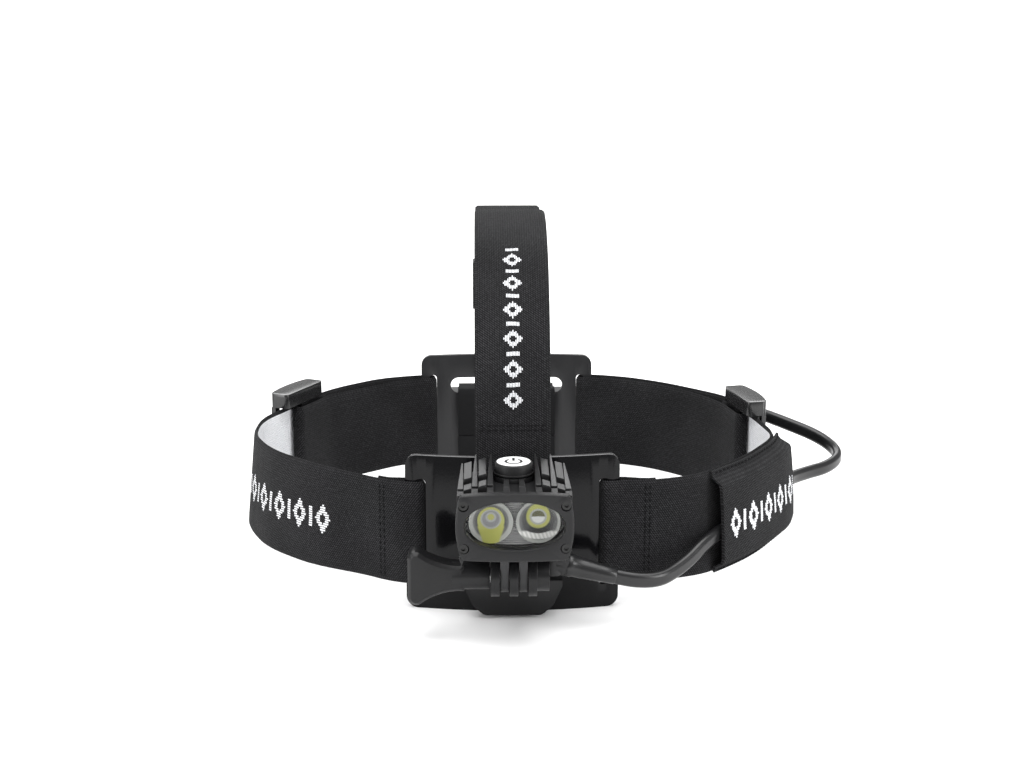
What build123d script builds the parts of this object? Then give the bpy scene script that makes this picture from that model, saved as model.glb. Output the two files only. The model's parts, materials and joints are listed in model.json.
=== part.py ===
"""Headlamp on an elastic headband: twin-optic lamp on a tilting clevis mount, battery pack at the back.

+X is the wearer's left (right when seen from the front), -Y faces forward and +Z is up.
The origin is the centre of the head opening, on the plane that both plates stand on.
"""
import os
from math import pi, radians, tan

from build123d import *

# Headband -----------------------------------------------------------------------------
PLATE_THICK = 2.0
PLATE_CORNER = 4.0
FRONT_PLATE_WIDTH = 72.0
REAR_PLATE_WIDTH = 70.0
PLATE_HEIGHT = 54.0
FRONT_PLATE_Y = -75.0  # outer face of the front plate on the centre plane
FRONT_PLATE_SAG = 4.5  # how far its corners fall back behind the middle
REAR_PLATE_Y = 77.0  # outer face of the rear plate on the centre plane
REAR_PLATE_SAG = 3.0
SLOT_WIDTH = 3.0  # side slots, for the 36 mm webbing
SLOT_X = 30.6
WEB_THICK = 1.5
SIDE_WEB = 36.0
SIDE_WEB_Z = 27.0  # mid height of the side webbing
TOP_WEB = 25.0
LAYER = PLATE_THICK / 2 + 0.3 + WEB_THICK / 2  # from a plate's mid surface to a layer's middle

# Mount and pivot ----------------------------------------------------------------------
PIVOT = (0.0, -97.0, 21.0)
PRONG_THICK = 2.9
PRONG_PITCH = 6.05
BUCKLE_PRONG_R = 7.0
FOOT_PRONG_R = 5.6
BOLT_R = 2.5
BASE_FRONT_Y = -81.0
BASE_WIDTH = 33.0

# Lamp ---------------------------------------------------------------------------------
LAMP_Z = 43.0  # mid height of the bezel
BEZEL_FRONT_Y = -116.0
BEZEL_DEEP = 3.4
BEZEL_HALF_W = 18.9
BEZEL_HALF_H = 11.2
WINDOW_Z = 43.65
WINDOW_HALF_W = 15.8
WINDOW_HALF_H = 7.9
WINDOW_END_R = 7.2
HOUSING_FRONT_Y = BEZEL_FRONT_Y + BEZEL_DEEP
HOUSING_REAR_Y = -83.0
FIN_REAR_Y = -81.0
CORE_TOP = 52.3
CORE_BOTTOM = 31.8
OPTIC_X = 7.6
OPTIC_R = 6.0
BUTTON_Y = -92.5
BUTTON_R = 6.1
BUTTON_TOP = 57.9
SCREW_SPOTS = [(-16.1, 7.5), (16.1, 7.5), (-16.1, -6.6), (16.1, -6.6)]  # from the bezel's middle

# Battery ------------------------------------------------------------------------------
BATTERY_HALF_W = 31.0
BATTERY_BOTTOM = 4.9
BATTERY_TOP = 34.9
BATTERY_FRONT_Y = 79.4
BATTERY_SPLIT_Y = 94.0
BATTERY_BACK_Y = 98.4
BATTERY_WALL = 1.5
BATTERY_MID_Z = (BATTERY_BOTTOM + BATTERY_TOP) / 2
SOCKET_Y = 89.0
SOCKET_Z = 20.0

# Cable: a tube of the flat lead's mean size -------------------------------------------
CABLE_R = 2.2
GLAND = (13.0, -86.5)  # the gland's upright axis
BOOT_START = (17.7, -86.6, 20.6)
BOOT_END = (34.0, -87.2, 16.6)
CABLE_ROUTE = [
    BOOT_END,
    (45.5, -87.6, 13.8),
    (57.5, -77.4, 16.5),
    (67.6, -66.5, 23.0),
    (85.0, -47.6, 25.6),
    (98.1, -24.8, 25.6),
    (102.5, -9.5, 25.4),
    (111.5, 0.5, 25.0),
    (122.0, 7.5, 25.4),
    (128.5, 18.0, 27.0),
    (123.0, 30.0, 30.5),
    (110.5, 36.5, 34.5),
    (98.5, 46.5, 37.0),
    (89.5, 61.0, 34.0),
    (82.0, 76.5, 27.0),
    (71.0, SOCKET_Y, SOCKET_Z),
    (56.0, SOCKET_Y, SOCKET_Z),
]

os.makedirs("parts", exist_ok=True)


def save(part, name):
    """Label a finished piece and write it under its node's name."""
    part.label = name
    export_step(part, f"parts/{name}.step")


def soft_radii(route):
    """Arc radii that round each corner of a route as widely as its two runs allow."""
    points = [Vector(*p) for p in route]
    radii = []
    for before, at, after in zip(points, points[1:], points[2:]):
        turn = radians((at - before).get_angle(after - at))
        shorter = min((at - before).length, (after - at).length)
        radii.append(0.45 * shorter / tan(turn / 2))
    return radii


def parallel(route, offset, bends):
    """A flat route moved sideways to its left, with the radii that keep it parallel."""
    points = [Vector(*p) for p in route]
    sides = []
    for start, end in zip(points, points[1:]):
        along = (end - start).normalized()
        sides.append(Vector(-along.Y, along.X))
    moved = [points[0] + sides[0] * offset]
    radii = []
    for at, one, two, radius in zip(points[1:], sides, sides[1:], bends):
        moved.append(at + (one + two) * (offset / (1 + one.dot(two))))
        left_turn = one.X * two.Y - one.Y * two.X > 0
        radii.append(radius - offset if left_turn else radius + offset)
    moved.append(points[-1] + sides[-1] * offset)
    return [(p.X, p.Y) for p in moved], radii


def webbing(route, near=-WEB_THICK / 2, far=WEB_THICK / 2, bends=None):
    """Face between two parallels of a flat route, drawn in the current sketch."""
    bends = bends or soft_radii(route)
    with BuildLine() as outline:
        edges = []
        for offset in (near, far):
            points, radii = parallel(route, offset, bends)
            edges.append(FilletPolyline(*points, radius=radii))
        Line(edges[0] @ 0, edges[1] @ 0)
        Line(edges[0] @ 1, edges[1] @ 1)
    make_face(outline.edges())


def barrel(half_w, half_h, side_bow, top_bow, bottom_bow, corner):
    """The bezel's barrel outline with four bowed edges, in front view."""
    left, right = -half_w + side_bow, half_w - side_bow
    top, bottom = LAMP_Z + half_h - top_bow, LAMP_Z - half_h + bottom_bow
    with BuildLine() as outline:
        ThreePointArc((left, top), (0, LAMP_Z + half_h), (right, top))
        ThreePointArc((right, top), (half_w, LAMP_Z), (right, bottom))
        ThreePointArc((right, bottom), (0, LAMP_Z - half_h), (left, bottom))
        ThreePointArc((left, bottom), (-half_w, LAMP_Z), (left, top))
    face = make_face(outline.edges())
    fillet(face.vertices(), corner)


def window_oval(shrink):
    """The window's flattened oval of four tangent arcs, smaller all round by shrink."""
    half_w, half_h, end_r = WINDOW_HALF_W - shrink, WINDOW_HALF_H - shrink, WINDOW_END_R - shrink
    end_x = half_w - end_r
    flat_r = (end_x**2 + half_h**2 - end_r**2) / (2 * (half_h - end_r))
    reach = flat_r / (flat_r - end_r)
    meet_x, rise = end_x * reach, (flat_r - half_h) * (reach - 1)
    top, bottom = WINDOW_Z + rise, WINDOW_Z - rise
    with BuildLine() as outline:
        ThreePointArc((-meet_x, top), (0, WINDOW_Z + half_h), (meet_x, top))
        ThreePointArc((meet_x, top), (half_w, WINDOW_Z), (meet_x, bottom))
        ThreePointArc((meet_x, bottom), (0, WINDOW_Z - half_h), (-meet_x, bottom))
        ThreePointArc((-meet_x, bottom), (-half_w, WINDOW_Z), (-meet_x, top))
    make_face(outline.edges())


# Plates -------------------------------------------------------------------------------
def arc_radius(width, sag):
    """Radius of an arc from its chord and its sag."""
    return (width**2 / 4 + sag**2) / (2 * sag)


FRONT_R = arc_radius(FRONT_PLATE_WIDTH, FRONT_PLATE_SAG)
REAR_R = arc_radius(REAR_PLATE_WIDTH, REAR_PLATE_SAG)
FRONT_ARC_Y = FRONT_PLATE_Y + FRONT_R
REAR_ARC_Y = REAR_PLATE_Y - REAR_R
BASE_SCREWS = [(x, z) for x in (-10.0, 10.0) for z in (21.0, 36.0)]

with BuildPart() as front_plate:
    with BuildSketch(Plane.XY) as plan:
        with Locations((0, FRONT_ARC_Y)):
            Circle(FRONT_R)
            Circle(FRONT_R - PLATE_THICK, mode=Mode.SUBTRACT)
    extrude(amount=PLATE_HEIGHT)
    with BuildSketch(Plane.XZ) as front_view:
        with Locations((0, PLATE_HEIGHT / 2)):
            RectangleRounded(FRONT_PLATE_WIDTH, PLATE_HEIGHT, PLATE_CORNER)
        with Locations((-SLOT_X, SIDE_WEB_Z), (SLOT_X, SIDE_WEB_Z)):
            SlotOverall(SIDE_WEB + 1.6, SLOT_WIDTH, rotation=90, mode=Mode.SUBTRACT)
        with Locations((0, 46.0)):
            SlotOverall(TOP_WEB + 3, SLOT_WIDTH, mode=Mode.SUBTRACT)
        with Locations(*BASE_SCREWS):
            Circle(1.2, mode=Mode.SUBTRACT)
    extrude(amount=100, mode=Mode.INTERSECT)
save(front_plate.part, "front_plate")

with BuildPart() as rear_plate:
    with BuildSketch(Plane.XY) as plan:
        with Locations((0, REAR_ARC_Y)):
            Circle(REAR_R)
            Circle(REAR_R - PLATE_THICK, mode=Mode.SUBTRACT)
    extrude(amount=PLATE_HEIGHT)
    with BuildSketch(Plane.XZ) as rear_view:
        with Locations((0, PLATE_HEIGHT / 2)):
            RectangleRounded(REAR_PLATE_WIDTH, PLATE_HEIGHT, PLATE_CORNER)
        with Locations((-SLOT_X + 0.4, SIDE_WEB_Z), (SLOT_X - 0.4, SIDE_WEB_Z)):
            SlotOverall(SIDE_WEB + 1.6, SLOT_WIDTH, rotation=90, mode=Mode.SUBTRACT)
        with Locations((0, 41.2)):
            SlotOverall(46, 6.4, mode=Mode.SUBTRACT)
        with Locations((0, 4.7)):
            SlotOverall(45, SLOT_WIDTH, mode=Mode.SUBTRACT)
    extrude(amount=-100, mode=Mode.INTERSECT)
save(rear_plate.part, "rear_plate")

# Sliders: local s runs along the webbing, n points away from the head ------------------
OUTER_TO_RETURN = 1.75  # middle of the outer layer to the middle of the returning layer
OUTER_TO_INNER = 5.3
SLIDER_HALF = 13.0
TOP_SLIDER_HALF = 10.0
LEFT_SLIDER = ((-82.5, 32.0), (0.4472, 0.8944))
RIGHT_SLIDER = ((91.4, 18.5), (0.2178, -0.976))
TOP_SLIDER_Z = 83.0
TOP_WEB_BACK_Y = 78.6  # middle of the top strap's outer layer behind the rear plate


def beside(slider_place, s, n):
    """Plan point at s along a slider and n outward of the outer layer's middle."""
    (x, y), (along_x, along_y) = slider_place
    return (x + s * along_x - n * along_y, y + s * along_y + n * along_x)


def slider(name, frame, half_long, reach, rail):
    """Three-bar slider: domed end rails at reach, two bars outside the webbing and one in its loop."""
    with BuildPart() as body:
        for start in (-reach - rail, reach):
            with BuildSketch(frame.offset(start)) as rail_outline:
                with BuildLine():
                    ThreePointArc((-half_long, 3.0), (0, 4.6), (half_long, 3.0))
                    Polyline((half_long, 3.0), (half_long, -4.4), (-half_long, -4.4), (-half_long, 3.0))
                make_face()
                fillet(rail_outline.vertices(), 1.6)
            extrude(amount=rail)
        with BuildSketch(frame.offset(-reach)) as bars:
            with Locations((-half_long + 1.5, 2.05), (half_long - 1.5, 2.05)):
                Rectangle(3.0, 1.8)
            with Locations((0, -3.5)):
                Rectangle(5.0, 1.3)
        extrude(amount=2 * reach)
    save(body.part, name)


for name, ((x, y), along) in (("left_slider", LEFT_SLIDER), ("right_slider", RIGHT_SLIDER)):
    side_frame = Plane(origin=(x, y, SIDE_WEB_Z), x_dir=(*along, 0), z_dir=(0, 0, 1))
    slider(name, side_frame, SLIDER_HALF, SIDE_WEB / 2 + 1.0, 5.5)
top_frame = Plane(origin=(0, TOP_WEB_BACK_Y, TOP_SLIDER_Z), x_dir=(0, 0, 1), z_dir=(-1, 0, 0))
slider("top_slider", top_frame, TOP_SLIDER_HALF, TOP_WEB / 2 + 0.3, 0.9)

# Side straps --------------------------------------------------------------------------
LEFT_ROUTE = [
    (-45.2, -64.5),
    (-41.6, -66.9),
    (-36.2, -67.3),
    (-29.8, -68.8),
    (-30.6, -72.8),
    (-37.0, -71.7),
    (-43.0, -68.9),
    (-67.0, -51.6),
    (-85.3, -32.5),
    (-94.0, -11.0),
    (-94.0, 9.0),
    (-72.0, 53.0),
    (-52.0, 71.0),
    (-37.5, 75.9),
    (-30.1, 76.7),
    (-29.7, 71.5),
    (-36.0, 70.4),
    (-46.0, 65.2),
    (-63.0, 51.0),
    beside(LEFT_SLIDER, 16.0, -OUTER_TO_INNER),
    beside(LEFT_SLIDER, -5.2, -OUTER_TO_INNER),
    beside(LEFT_SLIDER, -5.2, -OUTER_TO_RETURN),
    beside(LEFT_SLIDER, 9.0, -OUTER_TO_RETURN),
    beside(LEFT_SLIDER, 13.0, -3.45),
    beside(LEFT_SLIDER, 16.5, -3.45),
]
RIGHT_ROUTE = [
    (48.3, -68.6),
    (44.6, -69.3),
    (36.2, -67.3),
    (29.8, -68.8),
    (30.6, -72.8),
    (37.0, -71.7),
    (45.0, -71.2),
    (56.0, -68.6),
    (65.5, -63.8),
    (82.3, -45.6),
    (95.0, -23.5),
    (98.2, -12.0),
    (86.6, 40.0),
    (77.0, 50.0),
    (64.0, 62.5),
    (50.0, 71.7),
    (37.5, 75.9),
    (30.1, 76.7),
    (29.7, 71.5),
    (36.0, 70.4),
    (46.0, 67.5),
    (58.0, 61.5),
    (71.0, 50.0),
    beside(RIGHT_SLIDER, -15.0, -OUTER_TO_INNER),
    beside(RIGHT_SLIDER, 5.2, -OUTER_TO_INNER),
    beside(RIGHT_SLIDER, 5.2, -OUTER_TO_RETURN),
    beside(RIGHT_SLIDER, -9.0, -OUTER_TO_RETURN),
    beside(RIGHT_SLIDER, -13.0, -3.45),
    beside(RIGHT_SLIDER, -16.5, -3.45),
]

for name, route in (("left_strap", LEFT_ROUTE), ("right_strap", RIGHT_ROUTE)):
    with BuildPart() as strap:
        with BuildSketch(Plane.XY.offset(SIDE_WEB_Z - SIDE_WEB / 2)) as plan:
            webbing(route)
        extrude(amount=SIDE_WEB)
    save(strap.part, name)

# Cable sleeve: a hat-shaped cover sewn to the outside of the right strap ----------------
SLEEVE_WALL = 1.5
SLEEVE_NEAR = WEB_THICK / 2 + 0.15
SLEEVE_DEEP = 5.95
SLEEVE_START = RIGHT_ROUTE.index((56.0, -68.6))
SLEEVE_ROUTE = RIGHT_ROUTE[SLEEVE_START : SLEEVE_START + 4] + [(97.9, -13.0)]
SLEEVE_BENDS = soft_radii(RIGHT_ROUTE)[SLEEVE_START : SLEEVE_START + 3]

with BuildPart() as cable_sleeve:
    with BuildSketch(Plane.XY.offset(SIDE_WEB_Z - SIDE_WEB / 2)) as flanges:
        webbing(SLEEVE_ROUTE, -SLEEVE_NEAR - SLEEVE_WALL, -SLEEVE_NEAR, SLEEVE_BENDS)
    extrude(amount=SIDE_WEB)
    with BuildSketch(Plane.XY.offset(SIDE_WEB_Z - 14)) as cover:
        webbing(SLEEVE_ROUTE, -SLEEVE_DEEP - SLEEVE_WALL, -SLEEVE_NEAR, SLEEVE_BENDS)
    extrude(amount=28)
    with BuildSketch(Plane.XY.offset(SIDE_WEB_Z - 12.5)) as channel:
        webbing(SLEEVE_ROUTE, -SLEEVE_DEEP, 0.0, SLEEVE_BENDS)
    extrude(amount=25, mode=Mode.SUBTRACT)
    with Locations((52, -65, SIDE_WEB_Z)):
        Box(32, 40, 60, mode=Mode.SUBTRACT)
save(cable_sleeve.part, "cable_sleeve")

# Top strap, in side view: Y and Z ------------------------------------------------------
TOP_ROUTE = [
    (-73.2, 67.0),
    (-74.2, 61.5),
    (-71.4, 55.5),
    (-71.4, 45.8),
    (-76.05, 45.8),
    (-76.05, 68.0),
    (-72.0, 88.5),
    (-61.8, 105.3),
    (-46.5, 118.0),
    (-28.0, 125.0),
    (-9.0, 126.6),
    (12.0, 122.0),
    (32.0, 118.2),
    (54.0, 119.0),
    (70.0, 113.0),
    (TOP_WEB_BACK_Y, 100.0),
    (TOP_WEB_BACK_Y, 42.5),
    (TOP_WEB_BACK_Y - OUTER_TO_INNER, 42.5),
    (TOP_WEB_BACK_Y - OUTER_TO_INNER, TOP_SLIDER_Z + 11),
    (TOP_WEB_BACK_Y - OUTER_TO_RETURN, TOP_SLIDER_Z + 11),
    (TOP_WEB_BACK_Y - OUTER_TO_RETURN, TOP_SLIDER_Z - 8.5),
    (TOP_WEB_BACK_Y - 3.45, TOP_SLIDER_Z - 12.5),
    (TOP_WEB_BACK_Y - 3.45, TOP_SLIDER_Z - 16),
]

with BuildPart() as top_strap:
    with BuildSketch(Plane.YZ.offset(-TOP_WEB / 2)) as side_view:
        webbing(TOP_ROUTE)
    extrude(amount=TOP_WEB)
save(top_strap.part, "top_strap")

# Mount base, screwed to the front plate ------------------------------------------------
BASE_SIDE = [
    (-70.0, 1.3),
    (-82.5, 1.3),
    (-82.5, 13.5),
    (-79.0, 17.0),
    (-77.0, 17.0),
    (-77.0, 42.0),
    (-70.0, 42.0),
]

with BuildPart() as mount_base:
    with BuildSketch(Plane.YZ.offset(-BASE_WIDTH / 2)) as side_view:
        with BuildLine():
            Polyline(*BASE_SIDE, close=True)
        make_face()
    extrude(amount=BASE_WIDTH)
    for side in (-1, 1):
        with Locations((side * (BASE_WIDTH / 2 - 1), -78.0, 29.5)):
            Box(2.0, 2.0, 25.0)
        with Locations((side * (BASE_WIDTH / 2 - 1), -79.0, 23.0)):
            Box(2.0, 4.0, 12.0)
        with Locations((side * (BASE_WIDTH / 2 - 2.1), -80.15, 23.0)):
            Box(4.2, 1.7, 12.0)
    with BuildSketch(Plane.XZ.offset(60)) as front_view:
        with BuildLine():
            Polyline(
                (-16.5, 42.0), (16.5, 42.0), (16.5, 11.5), (13.4, 4.6), (9.6, 1.3),
                (-9.6, 1.3), (-13.4, 4.6), (-16.5, 11.5), close=True,
            )
        make_face()
        fillet(front_view.vertices(), 2.6)
    extrude(amount=30, mode=Mode.INTERSECT)
    with BuildSketch(Plane.XY) as plate_curve:
        with Locations((0, FRONT_ARC_Y)):
            Circle(FRONT_R)
    extrude(amount=PLATE_HEIGHT, mode=Mode.SUBTRACT)
    with BuildSketch(Plane.XZ.offset(70)) as screw_bores:
        with Locations(*BASE_SCREWS):
            Circle(1.0)
    extrude(amount=6.7, mode=Mode.SUBTRACT)
save(mount_base.part, "mount_base")

with BuildPart() as base_screws:
    for x, z in BASE_SCREWS:
        back = FRONT_ARC_Y - ((FRONT_R - PLATE_THICK) ** 2 - (abs(x) + 2.2) ** 2) ** 0.5
        with BuildSketch(Plane.XZ.offset(-back - 0.05)) as head:
            with Locations((x, z)):
                Circle(2.1)
        extrude(amount=-1.0)
        with BuildSketch(Plane.XZ.offset(-back - 0.05)) as shank:
            with Locations((x, z)):
                Circle(0.98)
        extrude(amount=3.4)
save(base_screws.part, "base_screws")

# Quick-release buckle with three prongs -------------------------------------------------
PIVOT_Y, PIVOT_Z = PIVOT[1], PIVOT[2]
HALF_PRONGS = PRONG_PITCH + PRONG_THICK / 2
NUT_BOSS_X = HALF_PRONGS + 4.0
BUCKLE_SIDE = [
    (PIVOT_Y, PIVOT_Z - BUCKLE_PRONG_R),
    (-88.5, PIVOT_Z - BUCKLE_PRONG_R),
    (-83.0, 17.6),
    (-79.0, 17.6),
    (-79.0, 27.0),
    (-88.0, 26.6),
    (PIVOT_Y, PIVOT_Z + BUCKLE_PRONG_R),
]

with BuildPart() as quick_release_buckle:
    with BuildSketch(Plane.YZ.offset(-HALF_PRONGS)) as side_view:
        with BuildLine():
            Polyline(*BUCKLE_SIDE, close=True)
        make_face()
        with Locations((PIVOT_Y, PIVOT_Z)):
            Circle(BUCKLE_PRONG_R)
    extrude(amount=2 * HALF_PRONGS)
    for side in (-1, 1):
        with Locations((side * PRONG_PITCH / 2, -98.5, PIVOT_Z)):
            Box(PRONG_PITCH - PRONG_THICK, 20, 20, mode=Mode.SUBTRACT)
    with Locations((0, -78.15, 23.15)):
        Box(28.4, 1.8, 11.7)
    with Locations((0, -79.8, 23.15)):
        Box(23.8, 2.0, 11.7)
    for side in (-1, 1):
        with Locations((side * 10.5, -78.05, 34.8)):
            Box(3.0, 1.6, 12.0)
        with Locations((side * 11.0, -78.05, 39.4)):
            Box(5.0, 1.6, 2.8)
    with BuildSketch(Plane.YZ.offset(HALF_PRONGS)) as nut_boss:
        with Locations((PIVOT_Y, PIVOT_Z)):
            Circle(5.3)
    extrude(amount=4.0)
    with BuildSketch(Plane.YZ.offset(HALF_PRONGS + 0.3)) as nut_pocket:
        with Locations((PIVOT_Y, PIVOT_Z)):
            RegularPolygon(4.05, 6, major_radius=False)
    extrude(amount=4.0, mode=Mode.SUBTRACT)
    with BuildSketch(Plane.YZ.offset(-10)) as bolt_bore:
        with Locations((PIVOT_Y, PIVOT_Z)):
            Circle(BOLT_R + 0.08)
    extrude(amount=24, mode=Mode.SUBTRACT)
save(quick_release_buckle.part, "quick_release_buckle")

with BuildPart() as pivot_nut:
    with BuildSketch(Plane.YZ.offset(HALF_PRONGS + 0.4)) as hexagon:
        with Locations((PIVOT_Y, PIVOT_Z)):
            RegularPolygon(4.0, 6, major_radius=False)
            Circle(BOLT_R + 0.06, mode=Mode.SUBTRACT)
    extrude(amount=3.6)
save(pivot_nut.part, "pivot_nut")

# Thumb knob and its bolt ----------------------------------------------------------------
KNOB_NEAR = -HALF_PRONGS - 0.3
KNOB_END = -34.3

with BuildPart() as thumb_knob:
    with BuildSketch(Plane.XZ.offset(-PIVOT_Y)) as paddle:
        with BuildLine():
            ThreePointArc((-16.0, PIVOT_Z + 4.3), (-26.0, PIVOT_Z + 6.1), (KNOB_END, PIVOT_Z + 12.6))
            Line((KNOB_END, PIVOT_Z + 12.6), (KNOB_END, PIVOT_Z - 12.6))
            ThreePointArc((KNOB_END, PIVOT_Z - 12.6), (-26.0, PIVOT_Z - 6.1), (-16.0, PIVOT_Z - 4.3))
            Line((-16.0, PIVOT_Z - 4.3), (-16.0, PIVOT_Z + 4.3))
        make_face()
        fillet(paddle.vertices().group_by(Axis.X)[0], 2.6)
    extrude(amount=4.3, both=True)
    chamfer(thumb_knob.edges().filter_by(Axis.Y, reverse=True).group_by(Axis.Y)[0], 1.1)
    chamfer(thumb_knob.edges().filter_by(Axis.Y, reverse=True).group_by(Axis.Y)[-1], 1.1)
    with BuildSketch(Plane.YZ.offset(-20)) as neck:
        with Locations((PIVOT_Y, PIVOT_Z)):
            Circle(4.6)
    extrude(amount=20 + KNOB_NEAR)
    with BuildSketch(Plane.YZ.offset(-19)) as bolt_seat:
        with Locations((PIVOT_Y, PIVOT_Z)):
            Circle(BOLT_R)
    extrude(amount=20, mode=Mode.SUBTRACT)
save(thumb_knob.part, "thumb_knob")

with BuildPart() as pivot_bolt:
    with BuildSketch(Plane.YZ.offset(-18.8)) as shaft:
        with Locations((PIVOT_Y, PIVOT_Z)):
            Circle(BOLT_R)
    extrude(amount=18.8 + NUT_BOSS_X - 0.3)
save(pivot_bolt.part, "pivot_bolt")

# Lamp foot: two prongs between the buckle's three ---------------------------------------
FOOT_SCREWS = [(-9.3, -101.5), (9.3, -101.5), (-9.3, -92.5), (9.3, -92.5)]

with BuildPart() as lamp_foot:
    for side in (-1, 1):
        with BuildSketch(Plane.YZ.offset(side * PRONG_PITCH / 2 - PRONG_THICK / 2)) as prong:
            with Locations((PIVOT_Y, PIVOT_Z)):
                Circle(FOOT_PRONG_R)
            with Locations((PIVOT_Y, PIVOT_Z + 4.4)):
                Rectangle(2 * FOOT_PRONG_R, 8.8)
        extrude(amount=PRONG_THICK)
    with Locations((0, PIVOT_Y, 30.4)):
        Box(2 * PRONG_PITCH / 2 + PRONG_THICK, 13.0, 2.8)
    with Locations((0, PIVOT_Y - 0.4, 30.7)):
        Box(24.0, 13.2, 2.2)
    with BuildSketch(Plane.YZ.offset(-10)) as pivot_bore:
        with Locations((PIVOT_Y, PIVOT_Z)):
            Circle(BOLT_R + 0.08)
    extrude(amount=20, mode=Mode.SUBTRACT)
    with BuildSketch(Plane.XY.offset(29)) as screw_bores:
        with Locations(*FOOT_SCREWS):
            Circle(0.95)
    extrude(amount=3, mode=Mode.SUBTRACT)
save(lamp_foot.part, "lamp_foot")

with BuildPart() as foot_screws:
    with BuildSketch(Plane.XY.offset(28.6)) as heads:
        with Locations(*FOOT_SCREWS):
            Circle(1.5)
    extrude(amount=0.95)
    with BuildSketch(Plane.XY.offset(29.5)) as shanks:
        with Locations(*FOOT_SCREWS):
            Circle(0.9)
    extrude(amount=4.8)
save(foot_screws.part, "foot_screws")

# Lamp housing with its cooling fins -------------------------------------------------------
FIN_PITCH = 5.0
FIN_THICK = 1.5
OUTER_FINS = [  # half position, height of the tip at the back
    (3.5 * FIN_PITCH - 0.7, 53.6),
    (2.5 * FIN_PITCH, 57.0),
    (1.5 * FIN_PITCH, 57.0),
    (0.5 * FIN_PITCH, 54.0),
]
GROOVE_FRONT, GROOVE_BACK = -108.6, -106.6
CAVITY_BACK = -86.0

with BuildPart() as lamp_housing:
    with BuildSketch(Plane.XZ.offset(-HOUSING_REAR_Y)) as core:
        with Locations((0, (CORE_TOP + CORE_BOTTOM) / 2)):
            RectangleRounded(35.2, CORE_TOP - CORE_BOTTOM, 3)
    extrude(amount=HOUSING_REAR_Y - HOUSING_FRONT_Y)
    for half, tip in OUTER_FINS:
        for x in (-half, half):
            with BuildSketch(Plane.YZ.offset(x - FIN_THICK / 2)) as fin:
                with BuildLine():
                    Polyline(
                        (HOUSING_FRONT_Y + 0.4, CORE_TOP - 4), (HOUSING_FRONT_Y + 0.4, 53.2),
                        (GROOVE_FRONT, 53.4), (GROOVE_FRONT, CORE_TOP - 0.6),
                        (GROOVE_BACK, CORE_TOP - 0.6), (GROOVE_BACK, min(53.8, tip)),
                        (FIN_REAR_Y, tip), (FIN_REAR_Y + 0.2, CORE_TOP - 2.5),
                        (HOUSING_REAR_Y, CORE_TOP - 4), close=True,
                    )
                make_face()
            extrude(amount=FIN_THICK)
    for side in (-1, 1):
        for x in (2 * FIN_PITCH, 3 * FIN_PITCH - 0.35):
            with Locations((side * x, -93.2, CORE_TOP + 0.1)):
                Box(3.6, 21.0, 1.8)
            with Locations((side * x, -89.0, CORE_TOP + 1.6)):
                Box(3.6, 12.6, 2.6)
    with Locations((0, BUTTON_Y, CORE_TOP + 0.5)):
        Cylinder(6.7, 3.0)
    with BuildSketch(Plane.XY.offset(53.2)) as button_well:
        with Locations((0, BUTTON_Y)):
            Circle(BUTTON_R + 0.2)
    extrude(amount=6, mode=Mode.SUBTRACT)
    with BuildSketch(Plane.XY.offset(47)) as stem_bore:
        with Locations((0, BUTTON_Y)):
            Circle(1.98)
    extrude(amount=8, mode=Mode.SUBTRACT)
    with BuildSketch(Plane.XZ.offset(-CAVITY_BACK)) as cavity:
        window_oval(0.4)
    extrude(amount=CAVITY_BACK - HOUSING_FRONT_Y, mode=Mode.SUBTRACT)
    with BuildSketch(Plane.XZ.offset(-HOUSING_FRONT_Y - 0.7)) as gasket_seat:
        window_oval(-1.1)
    extrude(amount=2, mode=Mode.SUBTRACT)
    with BuildSketch(Plane.XZ.offset(-HOUSING_FRONT_Y - 6)) as screw_bores:
        with Locations(*[(x, LAMP_Z + z) for x, z in SCREW_SPOTS]):
            Circle(0.95)
    extrude(amount=6, mode=Mode.SUBTRACT)
    with BuildSketch(Plane.XY.offset(CORE_BOTTOM)) as foot_bores:
        with Locations(*FOOT_SCREWS):
            Circle(0.9)
    extrude(amount=2.7, mode=Mode.SUBTRACT)
    with BuildSketch(Plane.XY.offset(CORE_BOTTOM)) as lead_bore:
        with Locations((GLAND[0] - 1.5, GLAND[1] - 1.5)):
            Circle(1.6)
    extrude(amount=7, mode=Mode.SUBTRACT)
save(lamp_housing.part, "lamp_housing")

with BuildPart() as front_bezel:
    with BuildSketch(Plane.XZ.offset(-HOUSING_FRONT_Y)) as outline:
        barrel(BEZEL_HALF_W, BEZEL_HALF_H, 1.4, 1.2, 0.6, 1.6)
    extrude(amount=BEZEL_DEEP)
    fillet(front_bezel.edges().group_by(Axis.Y)[0], 0.7)
    with BuildSketch(Plane.XZ.offset(-HOUSING_FRONT_Y)) as opening:
        window_oval(0)
    extrude(amount=BEZEL_DEEP, mode=Mode.SUBTRACT)
    with BuildSketch(Plane.XZ.offset(-HOUSING_FRONT_Y)) as window_seat:
        window_oval(-1.0)
    extrude(amount=1.9, mode=Mode.SUBTRACT)
    with BuildSketch(Plane.XZ.offset(-HOUSING_FRONT_Y)) as screw_bores:
        with Locations(*[(x, LAMP_Z + z) for x, z in SCREW_SPOTS]):
            Circle(1.0)
    extrude(amount=BEZEL_DEEP, mode=Mode.SUBTRACT)
    with BuildSketch(Plane.XZ.offset(-BEZEL_FRONT_Y - 1.6)) as head_seats:
        with Locations(*[(x, LAMP_Z + z) for x, z in SCREW_SPOTS]):
            Circle(1.65)
    extrude(amount=2, mode=Mode.SUBTRACT)
save(front_bezel.part, "front_bezel")

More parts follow.
